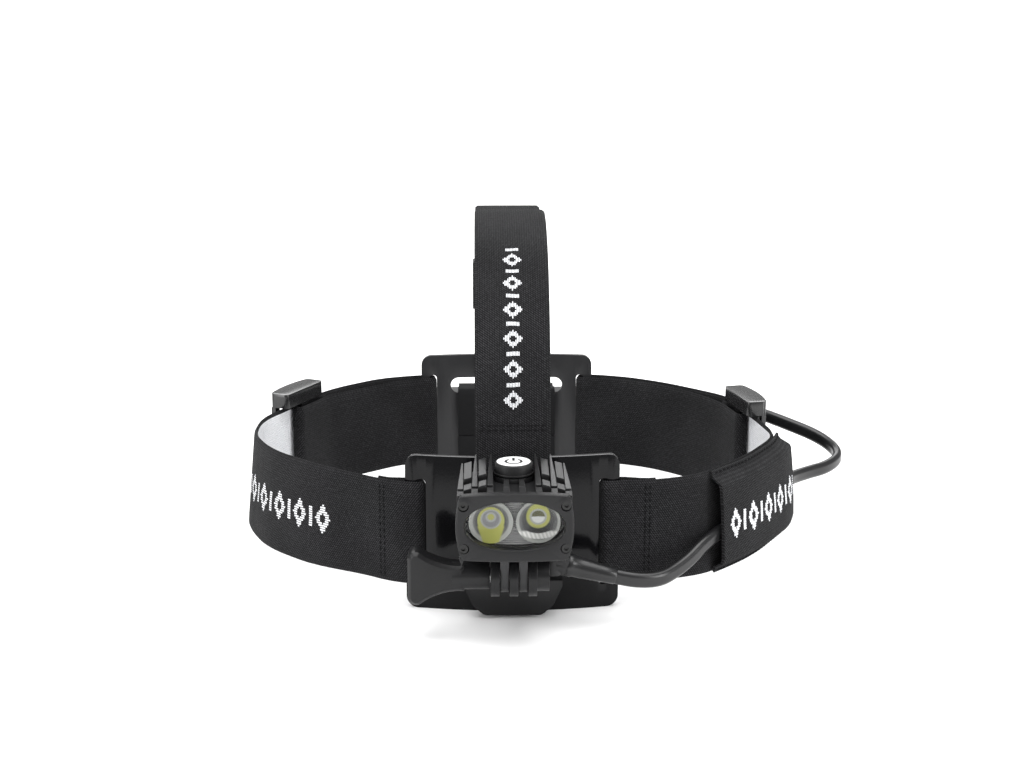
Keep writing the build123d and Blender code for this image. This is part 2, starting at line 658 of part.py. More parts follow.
with BuildPart() as bezel_screws:
    with BuildSketch(Plane.XZ.offset(-BEZEL_FRONT_Y - 1.55)) as heads:
        with Locations(*[(x, LAMP_Z + z) for x, z in SCREW_SPOTS]):
            Circle(1.5)
    extrude(amount=1.2)
    with BuildSketch(Plane.XZ.offset(-BEZEL_FRONT_Y - 1.55)) as shanks:
        with Locations(*[(x, LAMP_Z + z) for x, z in SCREW_SPOTS]):
            Circle(0.9)
    extrude(amount=-7.0)
    with BuildSketch(Plane.XZ.offset(-BEZEL_FRONT_Y - 1.0)) as sockets:
        with Locations(*[(x, LAMP_Z + z) for x, z in SCREW_SPOTS]):
            RegularPolygon(0.75, 6)
    extrude(amount=2, mode=Mode.SUBTRACT)
save(bezel_screws.part, "bezel_screws")

with BuildPart() as window_gasket:
    with BuildSketch(Plane.XZ.offset(-HOUSING_FRONT_Y - 0.65)) as ring:
        window_oval(-0.9)
    extrude(amount=0.9)
    with BuildSketch(Plane.XZ.offset(-HOUSING_FRONT_Y - 1)) as hole:
        window_oval(0.4)
    extrude(amount=2, mode=Mode.SUBTRACT)
save(window_gasket.part, "window_gasket")

with BuildPart() as front_window:
    with BuildSketch(Plane.XZ.offset(-HOUSING_FRONT_Y + 0.3)) as seat:
        window_oval(-0.9)
    extrude(amount=1.5)
    with BuildSketch(Plane.XZ.offset(-HOUSING_FRONT_Y + 1.8)) as raised:
        window_oval(0.1)
    extrude(amount=0.8)
save(front_window.part, "front_window")

# Optics and boards inside the lamp ---------------------------------------------------------
OPTIC_FRONT_Y = -111.6
LED_FACE_Y = -103.6

with BuildPart() as optic_holder:
    with BuildSketch(Plane.XZ.offset(-LED_FACE_Y + 0.2)) as block:
        window_oval(0.9)
    extrude(amount=LED_FACE_Y - 0.2 - OPTIC_FRONT_Y)
    for x in (-OPTIC_X, OPTIC_X):
        with BuildSketch(Plane.XZ.offset(-LED_FACE_Y)) as bore:
            with Locations((x, WINDOW_Z)):
                Circle(OPTIC_R + 0.1)
        extrude(amount=12, mode=Mode.SUBTRACT)
    for step in range(7):
        with Locations((0, OPTIC_FRONT_Y, WINDOW_Z - 6 + 2 * step)):
            Box(1.8, 0.8, 0.9, mode=Mode.SUBTRACT)
save(optic_holder.part, "optic_holder")

spot_frame = Plane(origin=(-OPTIC_X, LED_FACE_Y - 0.3, WINDOW_Z), x_dir=(1, 0, 0), z_dir=(0, -1, 0))
OPTIC_DEEP = LED_FACE_Y - 0.3 - OPTIC_FRONT_Y

with BuildPart() as spot_optic:
    with Locations(spot_frame):
        Cone(3.3, OPTIC_R, OPTIC_DEEP - 1.0, align=(Align.CENTER, Align.CENTER, Align.MIN))
        Cylinder(2.2, 2.8, align=(Align.CENTER, Align.CENTER, Align.MIN), mode=Mode.SUBTRACT)
    with Locations(spot_frame.offset(OPTIC_DEEP - 1.0)):
        Cylinder(OPTIC_R, 1.0, align=(Align.CENTER, Align.CENTER, Align.MIN))
save(spot_optic.part, "spot_optic")

flood_frame = Plane(origin=(OPTIC_X, LED_FACE_Y - 0.3, WINDOW_Z), x_dir=(1, 0, 0), z_dir=(0, -1, 0))

with BuildPart() as flood_optic:
    with Locations(flood_frame):
        Cylinder(OPTIC_R, OPTIC_DEEP, align=(Align.CENTER, Align.CENTER, Align.MIN))
        Cone(3.0, 5.6, OPTIC_DEEP - 1.4, align=(Align.CENTER, Align.CENTER, Align.MIN), mode=Mode.SUBTRACT)
save(flood_optic.part, "flood_optic")

with BuildPart() as led_board:
    with BuildSketch(Plane.XZ.offset(-LED_FACE_Y - 1.6)) as board:
        window_oval(0.9)
    extrude(amount=1.6)
save(led_board.part, "led_board")

with BuildPart() as leds:
    for x in (-OPTIC_X, OPTIC_X):
        with BuildSketch(Plane.XZ.offset(-LED_FACE_Y)) as package:
            with Locations((x, WINDOW_Z)):
                Rectangle(2.6, 2.6)
        extrude(amount=0.6)
        with BuildSketch(Plane.XZ.offset(-LED_FACE_Y + 0.6)) as dome:
            with Locations((x, WINDOW_Z)):
                Circle(1.2)
        extrude(amount=0.9)
save(leds.part, "leds")

with BuildPart() as driver_board:
    with BuildSketch(Plane.XZ.offset(97.8)) as board:
        window_oval(0.9)
    extrude(amount=1.2)
    with Locations((-6, -99.9, WINDOW_Z)):
        Box(5, 1.8, 4)
    with Locations((6.5, -100.1, WINDOW_Z - 1)):
        Box(6, 2.2, 6)
save(driver_board.part, "driver_board")

with BuildPart() as tact_switch:
    with Locations((0, -92.4, 45.9)):
        Box(12.0, 10.2, 1.2)
    with Locations((0, BUTTON_Y, 47.7)):
        Box(6.0, 6.0, 2.4)
    with Locations((0, BUTTON_Y, 49.1)):
        Cylinder(1.6, 0.8)
save(tact_switch.part, "tact_switch")

# Power button ---------------------------------------------------------------------------
with BuildPart() as button_ring:
    with BuildSketch(Plane.XY.offset(CORE_TOP + 2.0)) as ring:
        with Locations((0, BUTTON_Y)):
            Circle(6.7)
            Circle(BUTTON_R + 0.2, mode=Mode.SUBTRACT)
    extrude(amount=0.7)
save(button_ring.part, "button_ring")

with BuildPart() as power_button:
    with BuildSketch(Plane.XY.offset(54.2)) as cap:
        with Locations((0, BUTTON_Y)):
            Circle(BUTTON_R)
    extrude(amount=BUTTON_TOP - 54.2)
    fillet(power_button.edges().group_by(Axis.Z)[-1], 0.5)
    with BuildSketch(Plane.XY.offset(50.4)) as stem:
        with Locations((0, BUTTON_Y)):
            Circle(1.9)
    extrude(amount=4)
save(power_button.part, "power_button")

# Cable gland, boot and cable --------------------------------------------------------------
boot_along = (Vector(*BOOT_END) - Vector(*BOOT_START)).normalized()
BOOT_LONG = (Vector(*BOOT_END) - Vector(*BOOT_START)).length
boot_frame = Plane(origin=BOOT_START, x_dir=(0, 1, 0), z_dir=tuple(boot_along))
LOW = (Align.CENTER, Align.CENTER, Align.MIN)

with BuildPart() as cable_gland:
    with BuildSketch(Plane.XY.offset(17.6)) as post:
        with Locations(GLAND):
            Circle(4.0)
    extrude(amount=CORE_BOTTOM - 17.6)
    fillet(cable_gland.edges().group_by(Axis.Z)[0], 1.0)
    with Locations(boot_frame.offset(-3.6)):
        Cylinder(3.9, 3.6, align=LOW)
    with BuildSketch(Plane.XY.offset(22)) as lead_way:
        with Locations((GLAND[0] - 1.5, GLAND[1] - 1.5)):
            Circle(1.6)
    extrude(amount=12, mode=Mode.SUBTRACT)
save(cable_gland.part, "cable_gland")

with BuildPart() as cable_boot:
    with Locations(boot_frame):
        Cone(3.9, 2.6, BOOT_LONG - 0.1, align=LOW)
save(cable_boot.part, "cable_boot")

cable_radii = soft_radii(CABLE_ROUTE)
with BuildPart() as lamp_cable:
    with BuildLine() as way:
        FilletPolyline(*CABLE_ROUTE, radius=cable_radii)
    with BuildSketch(Plane(origin=way.line @ 0, z_dir=way.line % 0)) as section:
        Circle(CABLE_R)
    sweep()
save(lamp_cable.part, "lamp_cable")
print("cable radii", [round(r, 1) for r in cable_radii])
cable_long = sum(edge.length for edge in way.edges())
print("cable length", round(cable_long, 1))
print("cable volume over section times length", lamp_cable.part.volume / (pi * CABLE_R**2 * cable_long))

# Battery pack behind the rear plate --------------------------------------------------------
CELL = (50.0, 7.6, 26.0)
BATTERY_MID_Y = (BATTERY_FRONT_Y + BATTERY_BACK_Y) / 2
BATTERY_DEEP = BATTERY_BACK_Y - BATTERY_FRONT_Y
BATTERY_HIGH = BATTERY_TOP - BATTERY_BOTTOM
SOCKET = Plane(origin=(BATTERY_HALF_W, SOCKET_Y, SOCKET_Z), x_dir=(0, 1, 0), z_dir=(1, 0, 0))


def battery_shell():
    """Whole battery shell, hollow, before it is split into case and cover."""
    with Locations((0, BATTERY_MID_Y, BATTERY_MID_Z)):
        Box(2 * BATTERY_HALF_W, BATTERY_DEEP, BATTERY_HIGH)


with BuildPart() as battery_case:
    battery_shell()
    fillet(battery_case.edges().filter_by(Axis.Z) + battery_case.edges().filter_by(Axis.X), 2.8)
    with BuildSketch(Plane.XY.offset(BATTERY_BOTTOM + 4)) as saddle:
        Rectangle(50, BATTERY_FRONT_Y + 3, align=(Align.CENTER, Align.MIN))
        with Locations((0, REAR_ARC_Y)):
            Circle(REAR_R + 0.1, mode=Mode.SUBTRACT)
    extrude(amount=BATTERY_HIGH - 8)
    with Locations((0, BATTERY_MID_Y, BATTERY_MID_Z)):
        Box(
            2 * (BATTERY_HALF_W - BATTERY_WALL), BATTERY_DEEP - 2 * BATTERY_WALL,
            BATTERY_HIGH - 2 * BATTERY_WALL, mode=Mode.SUBTRACT,
        )
    with Locations((0, BATTERY_SPLIT_Y + 10, BATTERY_MID_Z)):
        Box(80, 20, 60, mode=Mode.SUBTRACT)
    with Locations(SOCKET):
        Cylinder(4.7, 6, mode=Mode.SUBTRACT)
save(battery_case.part, "battery_case")

with BuildPart() as battery_cover:
    battery_shell()
    fillet(battery_cover.edges().filter_by(Axis.Z) + battery_cover.edges().filter_by(Axis.X), 2.8)
    with Locations((0, BATTERY_MID_Y, BATTERY_MID_Z)):
        Box(
            2 * (BATTERY_HALF_W - BATTERY_WALL), BATTERY_DEEP - 2 * BATTERY_WALL,
            BATTERY_HIGH - 2 * BATTERY_WALL, mode=Mode.SUBTRACT,
        )
    with Locations((0, BATTERY_SPLIT_Y - 20, BATTERY_MID_Z)):
        Box(80, 40, 60, mode=Mode.SUBTRACT)
save(battery_cover.part, "battery_cover")

for number, y in ((1, BATTERY_FRONT_Y + 5.5), (2, BATTERY_FRONT_Y + 13.4)):
    with BuildPart() as cell:
        with Locations((-4.0, y, BATTERY_MID_Z)):
            Box(*CELL)
        fillet(cell.edges().filter_by(Axis.X), 2.0)
    save(cell.part, f"battery_cell_{number}")

with BuildPart() as battery_board:
    with Locations((23.0, SOCKET_Y, BATTERY_MID_Z)):
        Box(1.4, 14.0, 24.0)
    with Locations((22.0, SOCKET_Y, BATTERY_MID_Z)):
        Box(1.0, 6.0, 8.0)
save(battery_board.part, "battery_board")

with BuildPart() as battery_socket:
    with Locations(SOCKET.offset(-7.0)):
        Cylinder(4.6, 7.4, align=LOW)
    with Locations(SOCKET.offset(-5.0)):
        Cylinder(2.9, 8, align=LOW, mode=Mode.SUBTRACT)
save(battery_socket.part, "battery_socket")

with BuildPart() as cable_plug:
    with Locations(SOCKET.offset(0.6)):
        Cylinder(4.5, 13.4, align=LOW)
    with Locations(SOCKET.offset(-4.6)):
        Cylinder(2.8, 5.2, align=LOW)
save(cable_plug.part, "cable_plug")

with BuildPart() as plug_relief:
    with Locations(SOCKET.offset(14.0)):
        Cone(4.1, 2.5, 56 - BATTERY_HALF_W - 14.0, align=LOW)
save(plug_relief.part, "plug_relief")

# Battery band: a closed loop through the two slots of the rear plate, in side view ------------
BAND_HALF = 0.6
BAND_IN = 73.2
BAND_TOP = BATTERY_TOP + 0.9
BAND_BACK = BATTERY_BACK_Y + 0.9
BAND_LOW = BATTERY_BOTTOM - 0.9
BAND_ROUTE = [
    (BAND_IN, 20.0),
    (BAND_IN, 39.0),
    (78.3, 39.0),
    (81.2, BAND_TOP),
    (BAND_BACK, BAND_TOP),
    (BAND_BACK, BAND_LOW),
    (BAND_IN, BAND_LOW),
    (BAND_IN, 19.7),
]

with BuildPart() as battery_band:
    with BuildSketch(Plane.YZ.offset(-20)) as side_view:
        webbing(BAND_ROUTE, -BAND_HALF, BAND_HALF, [1.5, 1.2, 1.2, 3.4, 3.4, 1.5])
    extrude(amount=40)
save(battery_band.part, "battery_band")
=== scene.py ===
"""Headlamp on an elastic headband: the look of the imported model, in the row frame."""

import json
import math

import bpy
import numpy as np
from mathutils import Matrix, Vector

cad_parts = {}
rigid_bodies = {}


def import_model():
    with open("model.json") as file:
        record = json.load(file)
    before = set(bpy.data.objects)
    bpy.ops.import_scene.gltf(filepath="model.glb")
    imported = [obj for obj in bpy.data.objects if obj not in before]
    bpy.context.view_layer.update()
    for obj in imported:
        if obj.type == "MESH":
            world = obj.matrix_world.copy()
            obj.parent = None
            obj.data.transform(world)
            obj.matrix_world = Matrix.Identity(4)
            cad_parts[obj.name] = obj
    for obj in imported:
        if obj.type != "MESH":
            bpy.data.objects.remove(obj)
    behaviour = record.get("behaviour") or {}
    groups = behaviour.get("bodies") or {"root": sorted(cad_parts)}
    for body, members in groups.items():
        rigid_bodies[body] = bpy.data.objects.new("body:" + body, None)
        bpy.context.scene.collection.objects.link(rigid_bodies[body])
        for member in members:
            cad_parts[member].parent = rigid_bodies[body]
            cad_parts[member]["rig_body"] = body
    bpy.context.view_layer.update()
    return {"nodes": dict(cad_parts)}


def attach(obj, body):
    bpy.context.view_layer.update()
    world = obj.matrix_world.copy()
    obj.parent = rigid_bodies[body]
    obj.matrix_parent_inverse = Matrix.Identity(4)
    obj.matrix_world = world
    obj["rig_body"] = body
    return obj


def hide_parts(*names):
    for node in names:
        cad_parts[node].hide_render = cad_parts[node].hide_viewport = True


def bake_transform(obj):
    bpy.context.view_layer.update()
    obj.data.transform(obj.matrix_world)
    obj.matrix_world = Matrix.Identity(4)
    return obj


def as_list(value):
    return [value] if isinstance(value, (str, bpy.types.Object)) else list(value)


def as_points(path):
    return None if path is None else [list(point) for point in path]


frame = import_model()
MM = 0.001
nodes = frame["nodes"]
scene = bpy.context.scene
scene.view_settings.view_transform = "Standard"

# Camera --------------------------------------------------------------------------------
camera_data = bpy.data.cameras.new("camera")
camera_data.lens = 63.28
camera_data.sensor_width = 36
camera_data.clip_start = 0.01
camera = bpy.data.objects.new("camera", camera_data)
camera.location = (-0.00991, -0.64783, 0.22412)
camera.rotation_euler = (math.radians(90 - 14.19), 0, math.radians(-0.97))
scene.collection.objects.link(camera)
scene.camera = camera


# Materials -----------------------------------------------------------------------------
class Mat:
    """A material with short calls for its nodes."""

    def __init__(self, name, colour=(0.02, 0.02, 0.02), rough=0.5, **sockets):
        self.mat = bpy.data.materials.new(name)
        self.mat.use_nodes = True
        self.tree = self.mat.node_tree
        self.bsdf = self.tree.nodes["Principled BSDF"]
        self.put("Base Color", (*colour, 1))
        self.put("Roughness", rough)
        for key, value in sockets.items():
            self.put(key.replace("_", " "), value)

    def put(self, socket, value):
        """Sets a socket of the shader, or links a node's output to it."""
        target = self.bsdf.inputs[socket]
        if isinstance(value, bpy.types.NodeSocket):
            self.tree.links.new(value, target)
        else:
            target.default_value = value

    def node(self, kind, inputs=(), **fields):
        """Adds a node, sets its fields and feeds its inputs."""
        made = self.tree.nodes.new(kind)
        for key, value in fields.items():
            setattr(made, key, value)
        for key, value in dict(inputs).items():
            if isinstance(value, bpy.types.NodeSocket):
                self.tree.links.new(value, made.inputs[key])
            else:
                made.inputs[key].default_value = value
        return made

    def math(self, operation, *values):
        return self.node("ShaderNodeMath", dict(enumerate(values)), operation=operation).outputs[0]

    def ramp(self, factor, *stops):
        """A colour ramp with (position, grey or colour) stops."""
        made = self.node("ShaderNodeValToRGB", {"Fac": factor})
        ramp = made.color_ramp
        while len(ramp.elements) < len(stops):
            ramp.elements.new(0.5)
        for element, (place, colour) in zip(ramp.elements, stops):
            element.position = place
            rgb = (colour,) * 3 if isinstance(colour, (int, float)) else colour
            element.color = (*rgb, 1)
        return made.outputs["Color"]

    def bump(self, height, strength, distance):
        made = self.node("ShaderNodeBump", {"Height": height, "Strength": strength, "Distance": distance})
        self.put("Normal", made.outputs["Normal"])

    def grain(self, scale, strength, distance, detail=2.0):
        """Fine moulded or cast texture as a bump."""
        where = self.node("ShaderNodeTexCoord").outputs["Object"]
        noise = self.node("ShaderNodeTexNoise", {"Vector": where, "Scale": scale, "Detail": detail})
        self.bump(noise.outputs["Fac"], strength, distance)
        return noise.outputs["Fac"]


TWILL_ALONG, TWILL_ACROSS = 7800.0, 5400.0


def webbing_material(name, dark, light):
    """Woven webbing: diagonal twill, fine cross ribs and light specks, from UVs in metres."""
    m = Mat(name, dark, 0.92, Sheen_Weight=0.03, Sheen_Roughness=0.5)
    m.bsdf.inputs["Specular IOR Level"].default_value = 0.12
    uv = m.node("ShaderNodeTexCoord").outputs["UV"]
    split = m.node("ShaderNodeSeparateXYZ", {"Vector": uv})
    along, across = split.outputs["X"], split.outputs["Y"]
    diagonal = m.math(
        "ADD", m.math("MULTIPLY", along, TWILL_ALONG), m.math("MULTIPLY", across, TWILL_ACROSS)
    )
    twill = m.math("SINE", diagonal)
    ribs = m.math("SINE", m.math("MULTIPLY", across, TWILL_ALONG))
    noise = m.node("ShaderNodeTexNoise", {"Vector": uv, "Scale": 900.0, "Detail": 3.0}).outputs["Fac"]
    blotch = m.node("ShaderNodeTexNoise", {"Vector": uv, "Scale": 45.0, "Detail": 2.0}).outputs["Fac"]
    weave = m.math("ADD", m.math("MULTIPLY", twill, 0.5), m.math("MULTIPLY", ribs, 0.25))
    height = m.math("ADD", weave, m.math("MULTIPLY", noise, 1.4))
    shade = m.math("ADD", m.math("MULTIPLY", height, 0.30), m.math("MULTIPLY", blotch, 0.22))
    m.put("Base Color", m.ramp(shade, (0.3, dark), (0.58, light)))
    m.bump(height, 0.55, 0.0003)
    return m.mat


WEB = webbing_material("webbing", (0.005, 0.005, 0.0055), (0.034, 0.034, 0.036))
WEB_INNER = webbing_material("webbing inner", (0.007, 0.007, 0.0075), (0.034, 0.034, 0.036))
WHITE_THREAD = webbing_material("white thread", (0.62, 0.63, 0.65), (0.9, 0.9, 0.92))
STITCH = Mat("stitch thread", (0.006, 0.006, 0.0065), 0.9, Specular_IOR_Level=0.1).mat
GLOSS = Mat("glossy moulded plastic", (0.0035, 0.0035, 0.004), 0.14, Specular_IOR_Level=0.18)
GLOSS.grain(900, 0.08, 0.0002)
SATIN = Mat("satin moulded plastic", (0.013, 0.013, 0.014), 0.4, Specular_IOR_Level=0.4)
SATIN.grain(1800, 0.15, 0.0002)
MOUNT = Mat("mount plastic", (0.006, 0.006, 0.0065), 0.3, Specular_IOR_Level=0.25)
MOUNT.grain(1600, 0.12, 0.0002)
SLIDER = Mat("slider plastic", (0.012, 0.012, 0.0125), 0.2)
SLIDER.grain(1200, 0.06, 0.0002)
ANODISED = Mat("anodised aluminium", (0.028, 0.028, 0.029), 0.38, Metallic=0.6)
ANODISED.grain(2600, 0.2, 0.0002)
FIN_METAL = Mat("fin metal", (0.05, 0.05, 0.051), 0.34, Metallic=0.75)
FIN_METAL.grain(2600, 0.2, 0.0002)
SCREW = Mat("blackened steel", (0.03, 0.03, 0.03), 0.35, Metallic=0.9).mat
STEEL = Mat("steel", (0.5, 0.5, 0.5), 0.3, Metallic=1.0).mat
RUBBER = Mat("rubber", (0.008, 0.008, 0.0085), 0.5, Specular_IOR_Level=0.35)
RUBBER.grain(1500, 0.2, 0.0002)
KNOB = Mat("knob rubber", (0.008, 0.008, 0.0085), 0.34, Specular_IOR_Level=0.25)
KNOB.grain(1300, 0.25, 0.0002)
CABLE = Mat("cable sheath", (0.01, 0.01, 0.0105), 0.28, Specular_IOR_Level=0.4)
CABLE.grain(1400, 0.15, 0.0002)
PRINT = Mat("white print", (0.8, 0.8, 0.8), 0.5).mat
BOARD = Mat("circuit board", (0.02, 0.08, 0.05), 0.4).mat
FOIL = Mat("foil pouch", (0.5, 0.52, 0.55), 0.3, Metallic=0.8).mat
GASKET = Mat("gasket", (0.01, 0.01, 0.01), 0.6).mat


# Meshes --------------------------------------------------------------------------------
def mesh_object(name, verts, faces, mats, body, uvs=None, picks=None, smooth=True, sharp=40):
    """A mesh in the row frame, from millimetres, riding on a body."""
    mesh = bpy.data.meshes.new(name)
    mesh.from_pydata([tuple(float(c) * MM for c in v) for v in verts], [], faces)
    for mat in mats:
        mesh.materials.append(mat)
    if picks is not None:
        mesh.polygons.foreach_set("material_index", picks)
    if uvs is not None:
        layer = mesh.uv_layers.new(name="UVMap")
        corner = np.zeros(len(mesh.loops), int)
        mesh.loops.foreach_get("vertex_index", corner)
        layer.data.foreach_set("uv", (np.array(uvs, float)[corner] * MM).ravel())
    mesh.validate()
    if smooth:
        mesh.shade_smooth()
        mesh.set_sharp_from_angle(angle=math.radians(sharp))
    made = bpy.data.objects.new(name, mesh)
    scene.collection.objects.link(made)
    if body:
        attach(made, body)
    return made


CORNER_SHARE = 0.45


def rounded(route, step, bends=None):
    """Points along a route in millimetres, each corner rounded over a share of its shorter run."""
    pts = [np.array(p, float) for p in route]
    out = [pts[0]]
    for i in range(1, len(pts) - 1):
        a, b = pts[i - 1] - pts[i], pts[i + 1] - pts[i]
        la, lb = np.linalg.norm(a), np.linalg.norm(b)
        a, b = a / la, b / lb
        half_turn = (math.pi - math.acos(np.clip(a @ b, -1, 1))) / 2
        if half_turn < 1e-4:
            out.append(pts[i])
            continue
        tangent = CORNER_SHARE * min(la, lb)
        if bends is not None:
            tangent = bends[i - 1] * math.tan(half_turn)
        radius = tangent / math.tan(half_turn)
        middle = (a + b) / np.linalg.norm(a + b)
        centre = pts[i] + middle * radius / math.cos(half_turn)
        start = pts[i] + a * tangent - centre
        end = pts[i] + b * tangent - centre
        count = max(2, int(2 * half_turn * radius / step), int(math.degrees(2 * half_turn) / 9))
        for k in range(count + 1):
            t = k / count
            w0 = math.sin((1 - t) * 2 * half_turn) / math.sin(2 * half_turn)
            w1 = math.sin(t * 2 * half_turn) / math.sin(2 * half_turn)
            out.append(centre + start * w0 + end * w1)
    out.append(pts[-1])
    full = [out[0]]
    for p in out[1:]:
        gap = np.linalg.norm(p - full[-1])
        if gap < 0.02:
            continue
        cuts = max(1, int(round(gap / step)))
        base = full[-1]
        full += [base + (p - base) * (k + 1) / cuts for k in range(cuts)]
    return np.array(full)


class Band:
    """A strap's centre surface: flat route, across direction, and how far it leans."""

    def __init__(self, route, across, lift, outward, bends=None, step=0.8):
        flat = rounded(route, step, bends)
        self.route = flat
        gaps = np.linalg.norm(np.diff(flat, axis=0), axis=1)
        self.s = np.concatenate([[0], np.cumsum(gaps)])
        tangent = np.gradient(flat, self.s, axis=0)
        tangent /= np.linalg.norm(tangent, axis=1)[:, None]
        self.t = tangent
        self.lift, self.across, self.lean, self.outward = lift, across, None, outward

    def at(self, s, w, n=0.0):
        """A point at s along the strap, w across it and n away from the head."""
        s = np.atleast_1d(np.asarray(s, float))
        p = np.stack([np.interp(s, self.s, self.route[:, k]) for k in (0, 1)], 1)
        t = np.stack([np.interp(s, self.s, self.t[:, k]) for k in (0, 1)], 1)
        t /= np.linalg.norm(t, axis=1)[:, None]
        side = np.stack([-t[:, 1], t[:, 0]], 1) * self.outward
        off = n + (self.lean(s, w) if self.lean else 0.0)
        flat = p + side * np.reshape(off, (-1, 1))
        w = np.broadcast_to(w, s.shape)
        if self.across == "Z":
            return np.stack([flat[:, 0], flat[:, 1], self.lift + w], 1)
        return np.stack([self.lift + w, flat[:, 0], flat[:, 1]], 1)

    def near(self, x, y, low=0.0, high=None):
        """The distance along the strap of the point nearest to (x, y), between low and high."""
        d = np.hypot(self.route[:, 0] - x, self.route[:, 1] - y)
        keep = (self.s >= low) & (self.s <= (self.s[-1] if high is None else high))
        return float(self.s[keep][np.argmin(d[keep])])


def ribbon(name, band, width, thick, body, mats, start=None, shape=None, columns=17, pick=None):
    """A woven strap on a band: selvages at both edges, UVs in metres, ends closed."""
    low = band.s[0] if start is None else start
    high = band.s[-1]
    inner = band.s[(band.s > low + 0.05) & (band.s < high - 0.05)]
    s = np.concatenate([[low], inner, [high]])
    u = np.linspace(-1, 1, columns)
    w = np.sign(u) * (1 - (1 - abs(u)) ** 1.25) * width / 2
    edge = np.clip((width / 2 - abs(w)) / 0.9, 0, 1)
    half = thick / 2 * np.sqrt(np.clip(1 - (1 - edge) ** 2, 0, 1))
    groove = np.exp(-(((width / 2 - abs(w)) - 1.7) / 0.45) ** 2) * 0.12
    half = half - groove
    profile = [(w[i], half[i]) for i in range(columns)]
    profile += [(w[i], -half[i]) for i in range(columns - 2, 0, -1)]
    rows, uvs, count = [], [], len(profile)
    for across, n in profile:
        mid = shape(s, across) if shape else 0.0
        rows.append(band.at(s, across, mid + n))
        uvs.append(np.stack([s, np.full_like(s, across)], 1))
    verts = np.stack(rows, 1).reshape(-1, 3)
    uv = np.stack(uvs, 1).reshape(-1, 2)
    faces, picks = [], []
    for i in range(len(s) - 1):
        for j in range(count):
            k = (j + 1) % count
            faces.append((i * count + j, i * count + k, (i + 1) * count + k, (i + 1) * count + j))
            side = 1 if j >= columns - 1 else 0
            picks.append(pick(s[i], (profile[j][0] + profile[k][0]) / 2, side) if pick else side)
    last = (len(s) - 1) * count
    faces.append(tuple(range(count - 1, -1, -1)))
    faces.append(tuple(last + j for j in range(count)))
    picks += [0, 0]
    return mesh_object(name, verts, faces, mats, body, uv, picks, sharp=50)


def stitches(name, band, s0, s1, w0, w1, body, n, pitch=2.2, size=0.32):
    """A row of sewn stitches on the outer (or inner) face, from (s0, w0) to (s1, w1)."""
    length = math.hypot(s1 - s0, w1 - w0)
    count = max(1, int(length / pitch))
    verts, faces = [], []
    for i in range(count):
        a, b = (i + 0.14) / count, (i + 0.86) / count
        p, q = (band.at(s0 + (s1 - s0) * f, w0 + (w1 - w0) * f, n)[0] for f in (a, b))
        up = band.at(s0 + (s1 - s0) * a, w0 + (w1 - w0) * a, n + 1)[0] - p
        along = (q - p) / np.linalg.norm(q - p)
        side = np.cross(along, up / np.linalg.norm(up))
        base = len(verts)
        for f, high in ((0, 0.0), (0.15, 0.7), (0.5, 1.0), (0.85, 0.7), (1, 0.0)):
            at = p + (q - p) * f + up * size * 0.7 * (high - 0.4)
            for k in range(6):
                turn = k * math.pi / 3
                r = size * (0.45 + 0.3 * high)
                verts.append(at + side * r * math.cos(turn) + up * r * math.sin(turn))
        for ring in range(4):
            for k in range(6):
                m = (k + 1) % 6
                a0 = base + ring * 6
                faces.append((a0 + k, a0 + m, a0 + 6 + m, a0 + 6 + k))
    return mesh_object(name, verts, faces, [STITCH], body)


def woven(name, band, rows, s0, s1, w_mid, tall, body, n):
    """Raised white threads in a stepped pattern: rows of characters, # for thread."""
    long = len(rows[0])
    step_s, step_w = (s1 - s0) / long, tall / len(rows)
    verts, faces, uvs = [], [], []
    for r, line in enumerate(rows):
        c = 0
        while c < long:
            if line[c] != "#":
                c += 1
                continue
            run = c
            while run < long and line[run] == "#":
                run += 1
            cuts = max(1, int((run - c) * abs(step_s) / 1.2))
            jag = 0.16 * math.sin(r * 12.9898 + c * 4.1) * abs(step_s)
            base = len(verts)
            for k in range(cuts + 1):
                s = s0 + (c + (run - c) * k / cuts) * step_s + jag
                for w, h in ((-0.46, 0.0), (0.0, 0.14), (0.46, 0.0)):
                    across = w_mid + tall / 2 - (r + 0.5 - w) * step_w
                    verts.append(band.at(s, across, n + h)[0])
                    uvs.append((s, across))
            for k in range(cuts):
                for j in range(2):
                    a = base + k * 3 + j
                    faces.append((a, a + 3, a + 4, a + 1))
            c = run
    return mesh_object(name, verts, faces, [WHITE_THREAD], body, uvs, sharp=80)


def dress(name, mat, bevel):
    """Finishes a CAD node's own mesh: welds it, rounds its edges and gives it a material."""
    made = nodes[name]
    mesh = made.data
    mesh.materials.clear()
    mesh.materials.append(mat.mat if isinstance(mat, Mat) else mat)
    if "custom_normal" in mesh.attributes:
        mesh.attributes.remove(mesh.attributes["custom_normal"])
    weld = made.modifiers.new("weld", "WELD")
    weld.merge_threshold = 2e-6
    if bevel:
        rounding = made.modifiers.new("bevel", "BEVEL")
        rounding.width = bevel * MM
        rounding.segments = 2
        rounding.limit_method = "ANGLE"
        rounding.angle_limit = math.radians(32)
        rounding.use_clamp_overlap = True
        rounding.miter_outer = "MITER_ARC"
    bpy.context.view_layer.update()
    graph = bpy.context.evaluated_depsgraph_get()
    fresh = bpy.data.meshes.new_from_object(made.evaluated_get(graph))
    made.modifiers.clear()
    fresh.shade_smooth()
    fresh.set_sharp_from_angle(angle=math.radians(38))
    twin = bpy.data.objects.new(name + "_look", fresh)
    scene.collection.objects.link(twin)
    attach(twin, made["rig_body"])
    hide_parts(name)


# Routes, in millimetres ------------------------------------------------------------------
def beside(place, s, n):
    (x, y), (ax, ay) = place
    return (x + s * ax - n * ay, y + s * ay + n * ax)


